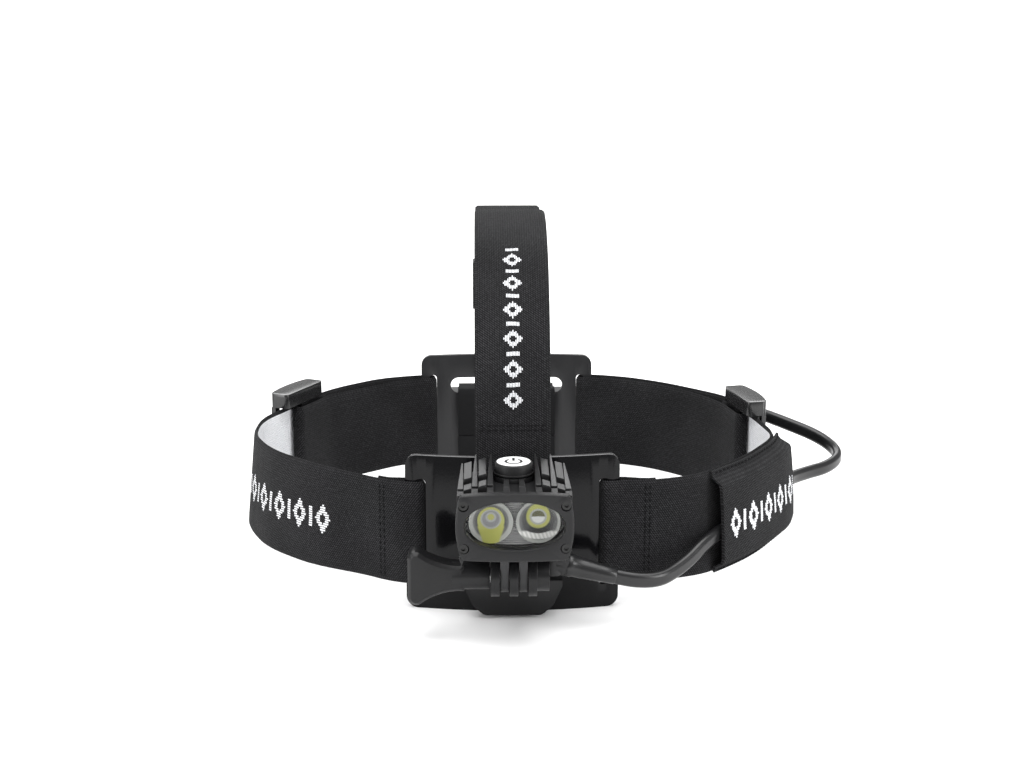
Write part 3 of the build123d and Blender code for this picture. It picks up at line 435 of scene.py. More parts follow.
LEFT_SLIDER = ((-82.5, 32.0), (0.4472, 0.8944))
RIGHT_SLIDER = ((91.4, 18.5), (0.2178, -0.976))
LEFT_ROUTE = [
    (-45.2, -64.5), (-41.6, -66.9), (-36.2, -67.3), (-29.5, -68.8), (-30.3, -72.8), (-37.0, -71.7),
    (-43.0, -68.9), (-67.0, -51.6), (-85.3, -32.5), (-94.0, -11.0), (-94.0, 9.0), (-72.0, 53.0),
    (-52.0, 71.0), (-37.5, 75.9), (-29.8, 76.7), (-29.3, 71.5), (-36.0, 70.4), (-46.0, 65.2), (-63.0, 51.0),
    beside(LEFT_SLIDER, 16.0, -5.3), beside(LEFT_SLIDER, -5.2, -5.3), beside(LEFT_SLIDER, -5.2, -1.75),
    beside(LEFT_SLIDER, 9.0, -1.75), beside(LEFT_SLIDER, 13.0, -3.45), beside(LEFT_SLIDER, 16.5, -3.45),
]
RIGHT_ROUTE = [
    (48.3, -68.6), (44.6, -69.3), (36.2, -67.3), (29.5, -68.8), (30.3, -72.8), (37.0, -71.7), (45.0, -71.2),
    (56.0, -68.6), (65.5, -63.8), (82.3, -45.6), (95.0, -23.5), (98.2, -12.0), (86.6, 40.0), (77.0, 50.0),
    (64.0, 62.5), (50.0, 71.7), (37.5, 75.9), (29.8, 76.7), (29.3, 71.5), (36.0, 70.4), (46.0, 67.5),
    (58.0, 61.5), (71.0, 50.0),
    beside(RIGHT_SLIDER, -15.0, -5.3), beside(RIGHT_SLIDER, 5.2, -5.3), beside(RIGHT_SLIDER, 5.2, -1.75),
    beside(RIGHT_SLIDER, -9.0, -1.75), beside(RIGHT_SLIDER, -13.0, -3.45), beside(RIGHT_SLIDER, -16.5, -3.45),
]
TOP_BACK = 78.6
TOP_ROUTE = [
    (-73.2, 67.0), (-74.2, 61.5), (-71.4, 55.5), (-71.4, 45.8), (-76.05, 45.8), (-76.05, 68.0), (-72.0, 88.5),
    (-61.8, 105.3), (-46.5, 118.0), (-28.0, 125.0), (-9.0, 126.6), (12.0, 122.0), (32.0, 118.2),
    (54.0, 119.0), (70.0, 113.0), (TOP_BACK, 100.0), (TOP_BACK, 42.5), (TOP_BACK - 5.3, 42.5),
    (TOP_BACK - 5.3, 94.0), (TOP_BACK - 1.75, 94.0), (TOP_BACK - 1.75, 74.5), (TOP_BACK - 3.45, 70.5),
    (TOP_BACK - 3.45, 67.0),
]
WEB_Z = 27.0
SIDE_WEB = 36.0
HALF_WEB = SIDE_WEB / 2
TOP_WEB = 25.0
WEB_THICK = 1.5
MOTIF_LIFT = 0.72
SEAM_LIFT = 0.7
SEAM_REACH = 16.6

# Cable: the route's points are the curve's control points --------------------------------
CABLE_ROUTE = [
    (34.0, -87.2, 16.6), (45.5, -87.6, 13.8), (57.5, -77.4, 16.5), (67.6, -66.5, 23.0), (85.0, -47.6, 25.6),
    (98.1, -24.8, 25.6), (102.5, -9.5, 25.4), (111.5, 0.5, 25.0), (122.0, 7.5, 25.4), (128.5, 18.0, 27.0),
    (123.0, 30.0, 30.5), (110.5, 36.5, 34.5), (98.5, 46.5, 37.0), (89.5, 61.0, 34.0), (82.0, 76.5, 27.0),
    (71.0, 89.0, 20.0), (56.0, 89.0, 20.0),
]


def cord_mesh(name, route, profile, mat):
    """A NURBS cord through its control points, swept with a closed profile, as a mesh with its centreline."""
    def curve(label, points, order, closed):
        data = bpy.data.curves.new(label, "CURVE")
        data.dimensions = "3D"
        line = data.splines.new("NURBS" if order else "POLY")
        line.points.add(len(points) - 1)
        for point, place in zip(line.points, points):
            point.co = (*[c * MM for c in place], 1)
        if order:
            line.order_u = order
            line.use_endpoint_u = True
        line.use_cyclic_u = closed
        data.resolution_u = 14
        made = bpy.data.objects.new(label, data)
        scene.collection.objects.link(made)
        return made

    way = curve(name + "_way", route, 3, False)
    bpy.context.view_layer.update()
    graph = bpy.context.evaluated_depsgraph_get()
    line = way.evaluated_get(graph).to_mesh()
    centre = [tuple(v.co) for v in line.vertices]
    section = curve(name + "_section", [(x, y, 0) for x, y in profile], 0, True)
    way.data.bevel_mode = "OBJECT"
    way.data.bevel_object = section
    way.data.use_fill_caps = True
    way.data.twist_mode = "Z_UP"
    bpy.context.view_layer.update()
    graph = bpy.context.evaluated_depsgraph_get()
    mesh = bpy.data.meshes.new_from_object(way.evaluated_get(graph))
    mesh.name = name
    mesh.materials.clear()
    mesh.materials.append(mat.mat)
    mesh.shade_smooth()
    mesh.set_sharp_from_angle(angle=math.radians(50))
    made = bpy.data.objects.new(name, mesh)
    scene.collection.objects.link(made)
    for spare in (way, section):
        bpy.data.objects.remove(spare)
    return made, centre


def twin_profile(wide, thick, groove, count=28):
    """Two round cores side by side in one flat sheath, with a shallow groove between."""
    out = []
    for i in range(count):
        turn = 2 * math.pi * i / count
        x = math.copysign(abs(math.cos(turn)) ** 0.75, math.cos(turn)) * wide / 2
        y = math.sin(turn) * thick / 2
        y *= 1 - groove * math.exp(-((x / 0.6) ** 2))
        out.append((y, x))
    return out


cable, cable_line = cord_mesh("lead", CABLE_ROUTE, twin_profile(5.2, 3.6, 0.12), CABLE)
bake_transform(cable)
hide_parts("lamp_cable")
cable_long = sum((Vector(a) - Vector(b)).length for a, b in zip(cable_line, cable_line[1:]))

boot_a, boot_b = np.array((17.7, -86.6, 20.6)), np.array(CABLE_ROUTE[0])


def lathe(name, a, b, profile, mat, body, sides=48, sharp=35):
    """A turned piece on the axis from a to b: profile holds (distance along, radius)."""
    axis = (b - a) / np.linalg.norm(b - a)
    one = np.cross(axis, (0.0, 0.0, 1.0))
    if np.linalg.norm(one) < 0.1:
        one = np.cross(axis, (0.0, 1.0, 0.0))
    one /= np.linalg.norm(one)
    two = np.cross(axis, one)
    verts, faces = [], []
    for d, r in profile:
        for k in range(sides):
            turn = 2 * math.pi * k / sides
            verts.append(a + axis * d + one * r * math.cos(turn) + two * r * math.sin(turn))
    for i in range(len(profile) - 1):
        for k in range(sides):
            m = (k + 1) % sides
            faces.append((i * sides + k, i * sides + m, (i + 1) * sides + m, (i + 1) * sides + k))
    faces.append(tuple(range(sides)))
    last = (len(profile) - 1) * sides
    faces.append(tuple(last + k for k in range(sides - 1, -1, -1)))
    return mesh_object(name, verts, faces, [mat.mat if isinstance(mat, Mat) else mat], body, sharp=sharp)


boot_long = float(np.linalg.norm(boot_b - boot_a))
boot = lathe(
    "boot", boot_a, boot_b,
    [
        (0, 3.7), (0.5, 3.9), (1.6, 3.9), (2.2, 3.6), (5, 3.5), (9, 3.2), (13, 2.9),
        (boot_long - 0.5, 2.75), (boot_long, 2.45),
    ],
    CABLE, None,
)
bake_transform(boot)
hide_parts("cable_boot")

# Straps ------------------------------------------------------------------------------------
LEFT = Band(LEFT_ROUTE, "Z", WEB_Z, outward=1)
RIGHT = Band(RIGHT_ROUTE, "Z", WEB_Z, outward=-1)
TOP = Band(TOP_ROUTE, "X", 0.0, outward=1)


def swell(s, low, high, soft):
    """1 between low and high, easing to 0 over soft beyond them."""
    up = np.clip((s - low + soft) / soft, 0, 1)
    down = np.clip((high + soft - s) / soft, 0, 1)
    t = np.minimum(up, down)
    return t * t * (3 - 2 * t)


left_turn = LEFT.near(-30.9, -72.8)
left_back = LEFT.near(-30.1, 76.7)
right_turn = RIGHT.near(30.9, -72.8)
right_back = RIGHT.near(30.1, 76.7)


def leaning(low, high, soft, tilt, bulge=0.0):
    """A strap's lean between two places along it: the lower edge out and the upper edge in by tilt."""
    def lean(s, w):
        return swell(s, low, high, soft) * (bulge - w / HALF_WEB * tilt)
    return lean


LEFT.lean = leaning(left_turn + 50, left_turn + 105, 32, 1.7, bulge=1.3)
RIGHT.lean = leaning(right_turn + 50, right_turn + 90, 34, 1.5)


HIGHLIGHT_REACH = 16.9


def highlight_patch(low, high):
    """Picks the white-thread material, a painted highlight, for the inner face between two places along a
    strap.
    """
    def pick(s, w, side):
        return 2 if side == 1 and low < s < high and abs(w) < HIGHLIGHT_REACH else side
    return pick


WEAVES = [WEB, WEB_INNER, WHITE_THREAD]
# The pale stretches on the inner faces of the side straps are painted highlights.
left_highlight = highlight_patch(left_turn + 62, left_turn + 150)
left_strap = ribbon("left_webbing", LEFT, SIDE_WEB, WEB_THICK, "headband", WEAVES, pick=left_highlight)
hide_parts("left_strap")
right_highlight = highlight_patch(right_turn + 62, right_turn + 142)
right_strap = ribbon("right_webbing", RIGHT, SIDE_WEB, WEB_THICK, "headband", WEAVES, pick=right_highlight)
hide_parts("right_strap")
top_strap = ribbon("top_webbing", TOP, TOP_WEB, WEB_THICK, "headband", [WEB, WEB_INNER])
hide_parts("top_strap")

SLEEVE_ROUTE = RIGHT_ROUTE[7:11] + [(97.9, -13.0)]


def soft_bends(route):
    """The radius at each corner of a route, rounded over a share of its shorter run."""
    out = []
    for a, b, c in zip(route, route[1:], route[2:]):
        p, q, r = (np.array(v, float) for v in (a, b, c))
        one, two = q - p, r - q
        turn = math.acos(np.clip(one @ two / np.linalg.norm(one) / np.linalg.norm(two), -1, 1))
        out.append(CORNER_SHARE * min(np.linalg.norm(one), np.linalg.norm(two)) / math.tan(turn / 2))
    return out


SLEEVE = Band(SLEEVE_ROUTE, "Z", WEB_Z, bends=soft_bends(RIGHT_ROUTE)[7:10], outward=-1)
sleeve_from = SLEEVE.near(67.6, -61.6)
SLEEVE.lean = leaning(22, 64, 34, 1.5)


COVER_HALF = 16.6


def hat(s, w):
    """Height of the sleeve's middle above the strap's middle: flat flanges and a raised cover."""
    rise = np.clip((COVER_HALF - abs(w)) / 3.4, 0, 1)
    rise = rise * rise * (3 - 2 * rise)
    return 1.55 + rise * (4.2 + 0.5 * math.cos(w / COVER_HALF * math.pi / 2))


sleeve = ribbon(
    "sleeve", SLEEVE, SIDE_WEB, 1.3, "headband", [WEB, WEB_INNER], start=sleeve_from, shape=hat, columns=33
)
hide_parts("cable_sleeve")

# Woven motif and seams ------------------------------------------------------------------------
def lozenges(count, tall=13, wide=9, gap=2):
    """Rows of a plain repeating pattern: hollow lozenges with a bar between them."""
    rows = []
    for r in range(tall):
        unit = ""
        for c in range(wide):
            d = abs(r - tall // 2) / (tall / 2) + abs(c - wide // 2) / (wide / 2)
            unit += "#" if 0.42 < d <= 1.0 else "."
        bar = "##" if 2 <= r < tall - 2 else ".."
        rows.append((unit + "." * gap + bar + "." * gap) * count)
    return rows


woven("left_motif", LEFT, lozenges(5), left_turn + 35.5, left_turn + 92.0, -0.8, 10.4, "headband", MOTIF_LIFT)
SLEEVE_TOP = 6.95
sleeve_to = SLEEVE.s[-1]
woven(
    "sleeve_motif", SLEEVE, lozenges(5), sleeve_from + 3.0, sleeve_to - 2.0, -0.6, 10.6,
    "headband", SLEEVE_TOP,
)
woven("top_motif", TOP, lozenges(6), 49.5, 110.0, 0.2, 6.4, "headband", MOTIF_LIFT)
for name, band, place, reach in (
    ("left_front_seam", LEFT, left_turn + 12.5, SEAM_REACH),
    ("right_front_seam", RIGHT, right_turn + 13.6, SEAM_REACH),
    ("left_back_seam", LEFT, left_back - 14.0, SEAM_REACH),
    ("right_back_seam", RIGHT, right_back - 14.0, SEAM_REACH),
    ("top_front_seam", TOP, 42.6, 11.4),
):
    for row, gap in enumerate((0.0, 1.6)):
        stitches(f"{name}_{row}", band, place + gap, place + gap, -reach, reach, "headband", SEAM_LIFT)
for name, w in (("sleeve_seam_upper", 17.2), ("sleeve_seam_lower", -17.2)):
    stitches(name, SLEEVE, sleeve_from + 1.5, sleeve_to - 1.5, w, w, "headband", 2.2)

# Optics behind the window ---------------------------------------------------------------------
WINDOW_Z = 43.65
OPTIC_X = 7.45
OPTIC_FRONT = -111.0
OPTIC_RADIUS = 7.0
OPTIC_DISH = 1.6
WINDOW_FRONT, WINDOW_BACK = -113.9, -112.9


def painted(name, rough, **sockets):
    """A material whose colour comes from the mesh's own colours."""
    m = Mat(name, (0.5, 0.5, 0.5), rough, **sockets)
    m.put("Base Color", m.node("ShaderNodeVertexColor", layer_name="tint").outputs["Color"])
    return m.mat


# The lens faces carry painted reflections and a painted highlight in their mesh colours.
LENS_PAINTED_REFLECTIONS = painted("lens reflector", 0.3, Specular_IOR_Level=0.4, Coat_Weight=0.4, Coat_Roughness=0.05)


def ease(value, low, high):
    t = min(1.0, max(0.0, (value - low) / (high - low)))
    return t * t * (3 - 2 * t)


def mix(a, b, t):
    return tuple(p + (q - p) * t for p, q in zip(a, b))


# Lens colours: the yellow is the phosphor and its painted reflections in the cup; the silver is a painted
# highlight.
YELLOW, OLIVE = (0.34, 0.35, 0.075), (0.07, 0.07, 0.022)
PALE, HIGHLIGHT_SILVER, DIM, DARK = (0.3, 0.31, 0.29), (0.7, 0.7, 0.68), (0.07, 0.07, 0.07), (0.015, 0.015, 0.015)


def spot_tint(r, x, z):
    """Colours of the spot lens: the phosphor in the middle, its painted reflections in the cup (a yellow ring
    and a tail below), and the pale rim.
    """
    inner = math.hypot(x, z - 0.6)
    colour = mix(mix(DARK, DIM, ease(r, 4.4, 5.2)), PALE, ease(r, 5.3, 6.0))
    # The yellow ring and the tail below it are painted reflections of the phosphor in the cup.
    ring = math.hypot(x * 1.05, z - 0.2)
    colour = mix(YELLOW, colour, ease(ring, 4.3, 4.7))
    reflection_tail = abs(x) - (4.0 + 0.35 * min(0.0, z + 2.0))
    if z < -1.5:
        colour = mix(YELLOW, colour, ease(reflection_tail, -0.2, 0.5))
    colour = mix(PALE, colour, ease(inner, 3.1, 3.4))
    colour = mix((0.17, 0.17, 0.18), colour, ease(inner, 2.5, 3.0))
    colour = mix(PALE, colour, ease(math.hypot(x, z - 1.2), 1.5, 1.9))
    colour = mix(YELLOW, colour, ease(math.hypot(x, z - 1.2), 0.9, 1.2))
    return colour


def flood_tint(r, x, z):
    """Colours of the flood lens: a yellow arch, the phosphor's painted reflection, a pale ring, and a bright
    crescent below, a painted highlight with a painted glint.
    """
    colour = mix(mix(DARK, DIM, ease(r, 4.6, 5.6)), PALE, ease(r, 5.8, 6.3))
    low = math.hypot(x * 0.82, z - 1.0)
    # A painted highlight: a silver crescent below the middle, streaked by a painted glint.
    glint = 0.65 + 0.35 * math.sin(5.0 * x + 2.0 * z)
    highlight_crescent = ease(low, 4.9, 5.3) * ease(-z, 2.8, 3.6) * (1 - ease(low, 6.6, 7.0))
    colour = mix(colour, mix(PALE, HIGHLIGHT_SILVER, glint), highlight_crescent)
    ring = math.hypot(x, z - 1.3 if z < 1.3 else (z - 1.3) * 0.82)
    colour = mix(YELLOW, colour, ease(ring, 3.5, 4.0))
    inner = math.hypot(x, z - 1.3)
    colour = mix(PALE, colour, ease(inner, 2.5, 2.9))
    core = OLIVE if z > 1.3 else (0.55, 0.56, 0.55)
    colour = mix(core, colour, ease(inner, 1.9, 2.25))
    return colour


def optic(name, x_mid, tint, cad):
    """A lens face as a shallow cup, with its rim at the front."""
    rings, sides = 44, 96
    verts, faces, tints = [(x_mid, OPTIC_FRONT + OPTIC_DISH, WINDOW_Z)], [], [tint(0.0, 0.0, 0.0)]
    for i in range(1, rings + 1):
        r = OPTIC_RADIUS * i / rings
        depth = OPTIC_DISH * (1 - (r / OPTIC_RADIUS) ** 2)
        for k in range(sides):
            a = 2 * math.pi * k / sides
            x, z = r * math.cos(a), r * math.sin(a)
            verts.append((x_mid + x, OPTIC_FRONT + depth, WINDOW_Z + z))
            tints.append(tint(r, x, z))
    for k in range(sides):
        faces.append((0, 1 + k, 1 + (k + 1) % sides))
    for i in range(rings - 1):
        for k in range(sides):
            a, b = 1 + i * sides + k, 1 + i * sides + (k + 1) % sides
            faces.append((a, a + sides, b + sides, b))
    made = mesh_object(name, verts, faces, [LENS_PAINTED_REFLECTIONS], "lamp", sharp=80)
    layer = made.data.color_attributes.new("tint", "FLOAT_COLOR", "POINT")
    layer.data.foreach_set("color", np.array([(*t, 1.0) for t in tints], np.float32).ravel())
    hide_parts(cad)


optic("spot_face", -OPTIC_X, spot_tint, "spot_optic")
optic("flood_face", OPTIC_X, flood_tint, "flood_optic")

HOLDER = Mat("ribbed grey holder", (0.42, 0.42, 0.42), 0.4)
spread = HOLDER.node("ShaderNodeSeparateXYZ", {"Vector": HOLDER.node("ShaderNodeTexCoord").outputs["Object"]})
HOLDER.bump(HOLDER.math("SINE", HOLDER.math("MULTIPLY", spread.outputs["Z"], 9000.0)), 0.5, 0.0003)


def window_outline(half_w, half_h, end_r, count=24):
    """Points of the window's oval, in millimetres from its middle."""
    end_x = half_w - end_r
    flat_r = (end_x**2 + half_h**2 - end_r**2) / (2 * (half_h - end_r))
    meet = math.atan2(end_x, flat_r - half_h)
    drop = flat_r - half_h
    flat_turns = [meet * k / count for k in range(count)]
    quarter = [(flat_r * math.sin(a), flat_r * math.cos(a) - drop) for a in flat_turns]
    quarter += [
        (end_x + end_r * math.sin(a), end_r * math.cos(a))
        for a in (meet + (math.pi / 2 - meet) * k / count for k in range(count + 1))
    ]
    full = quarter + [(x, -z) for x, z in reversed(quarter[:-1])]
    return full + [(-x, z) for x, z in reversed(full[1:-1])]


def slab(name, outline, y0, y1, mat, body, cad):
    """A flat piece of one outline between two depths, in place of a CAD node."""
    n = len(outline)
    verts = [(x, y, WINDOW_Z + z) for y in (y0, y1) for x, z in outline]
    faces = [tuple(range(n)), tuple(range(2 * n - 1, n - 1, -1))]
    faces += [(k, n + k, n + (k + 1) % n, (k + 1) % n) for k in range(n)]
    made = mesh_object(name, verts, faces, [mat], body)
    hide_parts(cad)


holder_outline = window_outline(16.0, 8.3, 7.4)
slab("optic_holder_face", holder_outline, -109.1, -104.0, HOLDER.mat, "lamp", "optic_holder")
GLASS = Mat("clear window", (0.02, 0.021, 0.021), 0.02, IOR=1.5, Alpha=0.06).mat
slab("window_pane", window_outline(15.9, 8.0, 7.2), WINDOW_FRONT, WINDOW_BACK, GLASS, "lamp", "front_window")

# Lamp body, bezel and fins -------------------------------------------------------------------
def superoval(half_w, half_h, power=2.15, count=192):
    """Points of a flattened oval, counted by turn."""
    out = []
    for k in range(count):
        a = 2 * math.pi * k / count
        c, d = math.cos(a), math.sin(a)
        x = half_w * math.copysign(abs(c) ** (2 / power), c)
        z = half_h * math.copysign(abs(d) ** (2 / power), d)
        out.append((x, z))
    return out


def polar(outline, angles):
    """Where rays at these angles from the middle cross an outline."""
    pts = np.array(outline)
    nxt = np.roll(pts, -1, axis=0)
    out = []
    for a in angles:
        d = np.array((math.cos(a), math.sin(a)))
        e = nxt - pts
        den = d[0] * e[:, 1] - d[1] * e[:, 0]
        with np.errstate(divide="ignore", invalid="ignore"):
            t = (pts[:, 0] * e[:, 1] - pts[:, 1] * e[:, 0]) / den
            u = (pts[:, 0] * d[1] - pts[:, 1] * d[0]) / den
        ok = (t > 0) & (u >= -1e-9) & (u <= 1 + 1e-9)
        out.append(d * (t[ok].max() if ok.any() else 1.0))
    return out


def bow(a, b, rise, count=14):
    """Points from a towards b along a shallow bow that rises to its left."""
    a, b = np.array(a, float), np.array(b, float)
    d = b - a
    side = np.array((-d[1], d[0])) / np.linalg.norm(d)
    return [tuple(a + d * t + side * rise * 4 * t * (1 - t)) for t in (k / count for k in range(count))]


def bezel_outline(inset=0.0):
    """The bezel's barrel outline about its middle, corners cut off."""
    w, h = 17.6 - inset, 10.6 - inset
    low_w = 17.0 - inset
    pts = bow((-w + 1.3, h), (w - 1.3, h), 0.7)
    pts += bow((w - 1.3, h), (w, h - 1.5), 0.25, 4)
    pts += bow((w, h - 1.5), (low_w, -h + 0.8), 1.25)
    pts += bow((low_w, -h + 0.8), (low_w - 1.5, -h), 0.2, 4)
    pts += bow((low_w - 1.5, -h), (-low_w + 1.5, -h), 0.5)
    pts += bow((-low_w + 1.5, -h), (-low_w, -h + 0.8), 0.2, 4)
    pts += bow((-low_w, -h + 0.8), (-w, h - 1.5), 1.25)
    pts += bow((-w, h - 1.5), (-w + 1.3, h), 0.25, 4)
    return pts


LAMP_Z = 43.0
BEZEL = Mat("bezel", (0.009, 0.009, 0.0095), 0.42, Specular_IOR_Level=0.25)
BEZEL.grain(3000, 0.35, 0.0002)


def rings(name, loops, mat, body, close=False):
    """Skins a row of closed loops, each a list of (x, y, z); close joins the last to the first."""
    n = len(loops[0])
    verts = [p for loop in loops for p in loop]
    faces = []
    spans = len(loops) if close else len(loops) - 1
    for i in range(spans):
        j = (i + 1) % len(loops)
        for k in range(n):
            m = (k + 1) % n
            faces.append((i * n + k, i * n + m, j * n + m, j * n + k))
    return mesh_object(name, verts, faces, [mat], body, sharp=28)


turns = [2 * math.pi * (k + 0.5) / 240 for k in range(240)]


def bezel_loop(inset, y):
    return [(p[0], y, LAMP_Z + p[1]) for p in polar(bezel_outline(inset), turns)]


def oval_loop(grow, y):
    shift = WINDOW_Z - LAMP_Z
    shape = [(x, z + shift) for x, z in superoval(15.7 + grow, 7.85 + grow)]
    return [(p[0], y, LAMP_Z + p[1]) for p in polar(shape, turns)]


bezel = rings(
    "bezel",
    [
        bezel_loop(0.35, -112.6), bezel_loop(0.0, -112.9), bezel_loop(0.0, -115.3), bezel_loop(0.18, -115.75),
        bezel_loop(0.6, -116.0), oval_loop(0.75, -116.0), oval_loop(0.3, -115.85), oval_loop(0.0, -115.4),
        oval_loop(-0.1, -114.2), oval_loop(0.1, -112.6),
    ],
    BEZEL.mat, "lamp", close=True,
)
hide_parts("front_bezel")


def cylinder_cut(target, spots, radius, y0, y1):
    """Cuts round holes along Y through a piece."""
    for x, z in spots:
        ends = [(0, radius), (abs(y1 - y0), radius)]
        tool = lathe("cutter", np.array((x, y0, z)), np.array((x, y1, z)), ends, BEZEL, None, 32)
        cut = target.modifiers.new("hole", "BOOLEAN")
        cut.operation, cut.object, cut.solver = "DIFFERENCE", tool, "EXACT"
        bpy.context.view_layer.update()
        graph = bpy.context.evaluated_depsgraph_get()
        fresh = bpy.data.meshes.new_from_object(target.evaluated_get(graph))
        target.modifiers.clear()
        target.data = fresh
        bpy.data.objects.remove(tool)
    target.data.shade_smooth()
    target.data.set_sharp_from_angle(angle=math.radians(28))


SCREW_SPOTS = [(-16.0, 50.3), (16.0, 50.3), (-15.9, 36.5), (15.9, 36.5)]
cylinder_cut(bezel, SCREW_SPOTS, 1.65, -112.0, -117.0)
for number, (x, z) in enumerate(SCREW_SPOTS):
    deep = -114.2 if z > LAMP_Z else -115.3
    lathe(
        f"bezel_screw_head_{number}", np.array((x, deep + 1.8, z)), np.array((x, deep, z)),
        [(0, 1.5), (1.5, 1.5), (1.8, 1.25), (1.8, 0.8), (0.9, 0.75), (0.9, 0.01)], SCREW, "lamp", 32,
    )
for side in (-1, 1):
    x = side * 16.6
    mesh_object(
        f"bezel_spur_{(side + 1) // 2}",
        [
            (x - 0.9, -115.6, 33.2), (x + 0.9, -115.6, 33.4), (x + side * 0.1, -115.2, 30.6),
            (x - 0.9, -113.4, 33.2), (x + 0.9, -113.4, 33.4), (x + side * 0.1, -113.6, 30.6),
        ],
        [(0, 2, 1), (3, 4, 5), (0, 1, 4, 3), (1, 2, 5, 4), (2, 0, 3, 5)], [BEZEL.mat], "lamp", smooth=False,
    )


FIN_BEVEL = 0.12


def prism(name, xs, zs_low, zs_high, ys, mat):
    """A block lofted along Y: at each y, a pair of x, and pairs of low and high z at its left and right."""
    verts, faces = [], []
    for y, (xa, xb), (la, lb), (ha, hb) in zip(ys, xs, zs_low, zs_high):
        verts += [(xa, y, la), (xb, y, lb), (xb, y, hb), (xa, y, ha)]
    n = len(ys)
    for i in range(n - 1):
        for k in range(4):
            m = (k + 1) % 4
            faces.append((i * 4 + k, i * 4 + m, (i + 1) * 4 + m, (i + 1) * 4 + k))
    faces += [(3, 2, 1, 0), tuple(4 * (n - 1) + k for k in range(4))]
    made = mesh_object(name, verts, faces, [mat], "lamp", sharp=20)
    rounding = made.modifiers.new("bevel", "BEVEL")
    rounding.width, rounding.segments, rounding.limit_method = FIN_BEVEL * MM, 2, "ANGLE"
    rounding.angle_limit = math.radians(25)


HOUSING = Mat("housing", (0.009, 0.009, 0.0095), 0.42, Specular_IOR_Level=0.35)
HOUSING.grain(2600, 0.25, 0.0002)
CORE_BACK, CORE_MIDDLE, CORE_FRONT = -83.0, -103.6, -112.6
arch = [(17.2, 51.0), (12.5, 51.7), (7.0, 52.2), (0.0, 52.4)]
core_outline = [(-x, z) for x, z in arch] + [(x, z) for x, z in reversed(arch[:-1])]
belly = [(17.4, 45.0), (17.0, 36.0), (15.4, 32.6), (12.5, 31.8)]
core_outline += belly + [(-x, z) for x, z in reversed(belly)]
core_verts = [(x, y, z) for y in (CORE_MIDDLE, CORE_BACK) for x, z in core_outline]
m = len(core_outline)
core_faces = [(k, (k + 1) % m, m + (k + 1) % m, m + k) for k in range(m)]
core_faces += [tuple(range(m - 1, -1, -1)), tuple(m + k for k in range(m))]
core = mesh_object("housing_core", core_verts, core_faces, [HOUSING.mat], "lamp", sharp=30)
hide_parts("lamp_housing")


def core_loop(y):
    return [(p[0], y, LAMP_Z + p[1]) for p in polar([(x, z - LAMP_Z) for x, z in core_outline], turns)]


rings(
    "housing_front",
    [core_loop(CORE_MIDDLE), core_loop(CORE_FRONT), oval_loop(0.35, CORE_FRONT), oval_loop(0.2, CORE_MIDDLE)],
    HOUSING.mat, "lamp", close=True,
)
FINS = [(17.0, 50.4, 53.2, 54.0), (12.5, 51.4, 54.1, 57.0), (7.6, 51.9, 54.5, 57.2), (2.5, 52.1, 54.5, 54.0)]
for number, (x0, foot, stub, tip) in enumerate(FINS):
    for side in (-1, 1):
        x, tag = side * x0, f"{number}_{(side + 1) // 2}"
        lean = side * 0.35
        sole = (foot - 1.5,) * 2
        prism(
            f"fin_stub_{tag}", [(x - 1.05, x + 1.05)] * 2, [sole] * 2, [(stub - 0.4,) * 2, (stub,) * 2],
            [-112.5, -108.9], HOUSING.mat,
        )
        front = (x - 0.95, x + 0.95)
        middle = (x - 0.75 - lean * 0.4, x + 0.75 - lean * 0.4)
        back = (x - lean - 0.28, x - lean + 0.28)
        rise = min(stub + 0.3, tip)
        prism(
            f"fin_{tag}", [front, middle, back], [sole] * 3,
            [(rise,) * 2, ((rise + tip) / 2,) * 2, (tip,) * 2], [-107.4, -97.0, -81.0], FIN_METAL.mat,
        )
for side in (-1, 1):
    for tag, (x0, top) in enumerate(((14.75, 0.0), (10.05, 1.2))):
        x = side * x0
        slope = (0.0, 0.75) if side < 0 else (0.75, 0.0)
        for step, (y0, y1, z) in enumerate(((-109.0, -103.5, 53.5), (-100.2, -82.5, 54.4))):
            prism(
                f"fin_block_{tag}_{step}_{(side + 1) // 2}", [(x - 1.25, x + 1.25)] * 2, [(50.0, 50.0)] * 2,
                [(z + top + slope[0], z + top + slope[1])] * 2, [y0, y1], FIN_METAL.mat,
            )

# Power button ------------------------------------------------------------------------------------
BUTTON_Y = -92.5
PRINT_Z, SYMBOL_Z = 58.02, 58.04
lathe(
    "button_boss", np.array((0, BUTTON_Y, 51.6)), np.array((0, BUTTON_Y, 53.9)),
    [(0, 6.7), (2.0, 6.7), (2.3, 6.55), (2.3, 6.3), (1.1, 6.25), (1.1, 0.01)], HOUSING, "lamp", 96,
)
cap = lathe(
    "button_cap", np.array((0, BUTTON_Y, 53.95)), np.array((0, BUTTON_Y, 58.0)),
    [(0, 5.7), (0.3, 6.0), (3.6, 6.1), (3.9, 6.0), (4.05, 5.8)], RUBBER, "button", 96,
)
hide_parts("power_button")


def flat_ring(name, inner, outer, z, mat, body, gap=0.0, sides=96):
    """A thin printed ring or disc on top of the button, open over gap radians at the back."""
    verts, faces = [], []
    for k in range(sides + 1):
        a = math.pi / 2 + gap / 2 + (2 * math.pi - gap) * k / sides
        for r in (inner, outer):
            verts.append((r * math.cos(a), BUTTON_Y + r * math.sin(a), z))
    for k in range(sides):
        faces.append((2 * k, 2 * k + 1, 2 * k + 3, 2 * k + 2))
    return mesh_object(name, verts, faces, [mat], body, smooth=False)


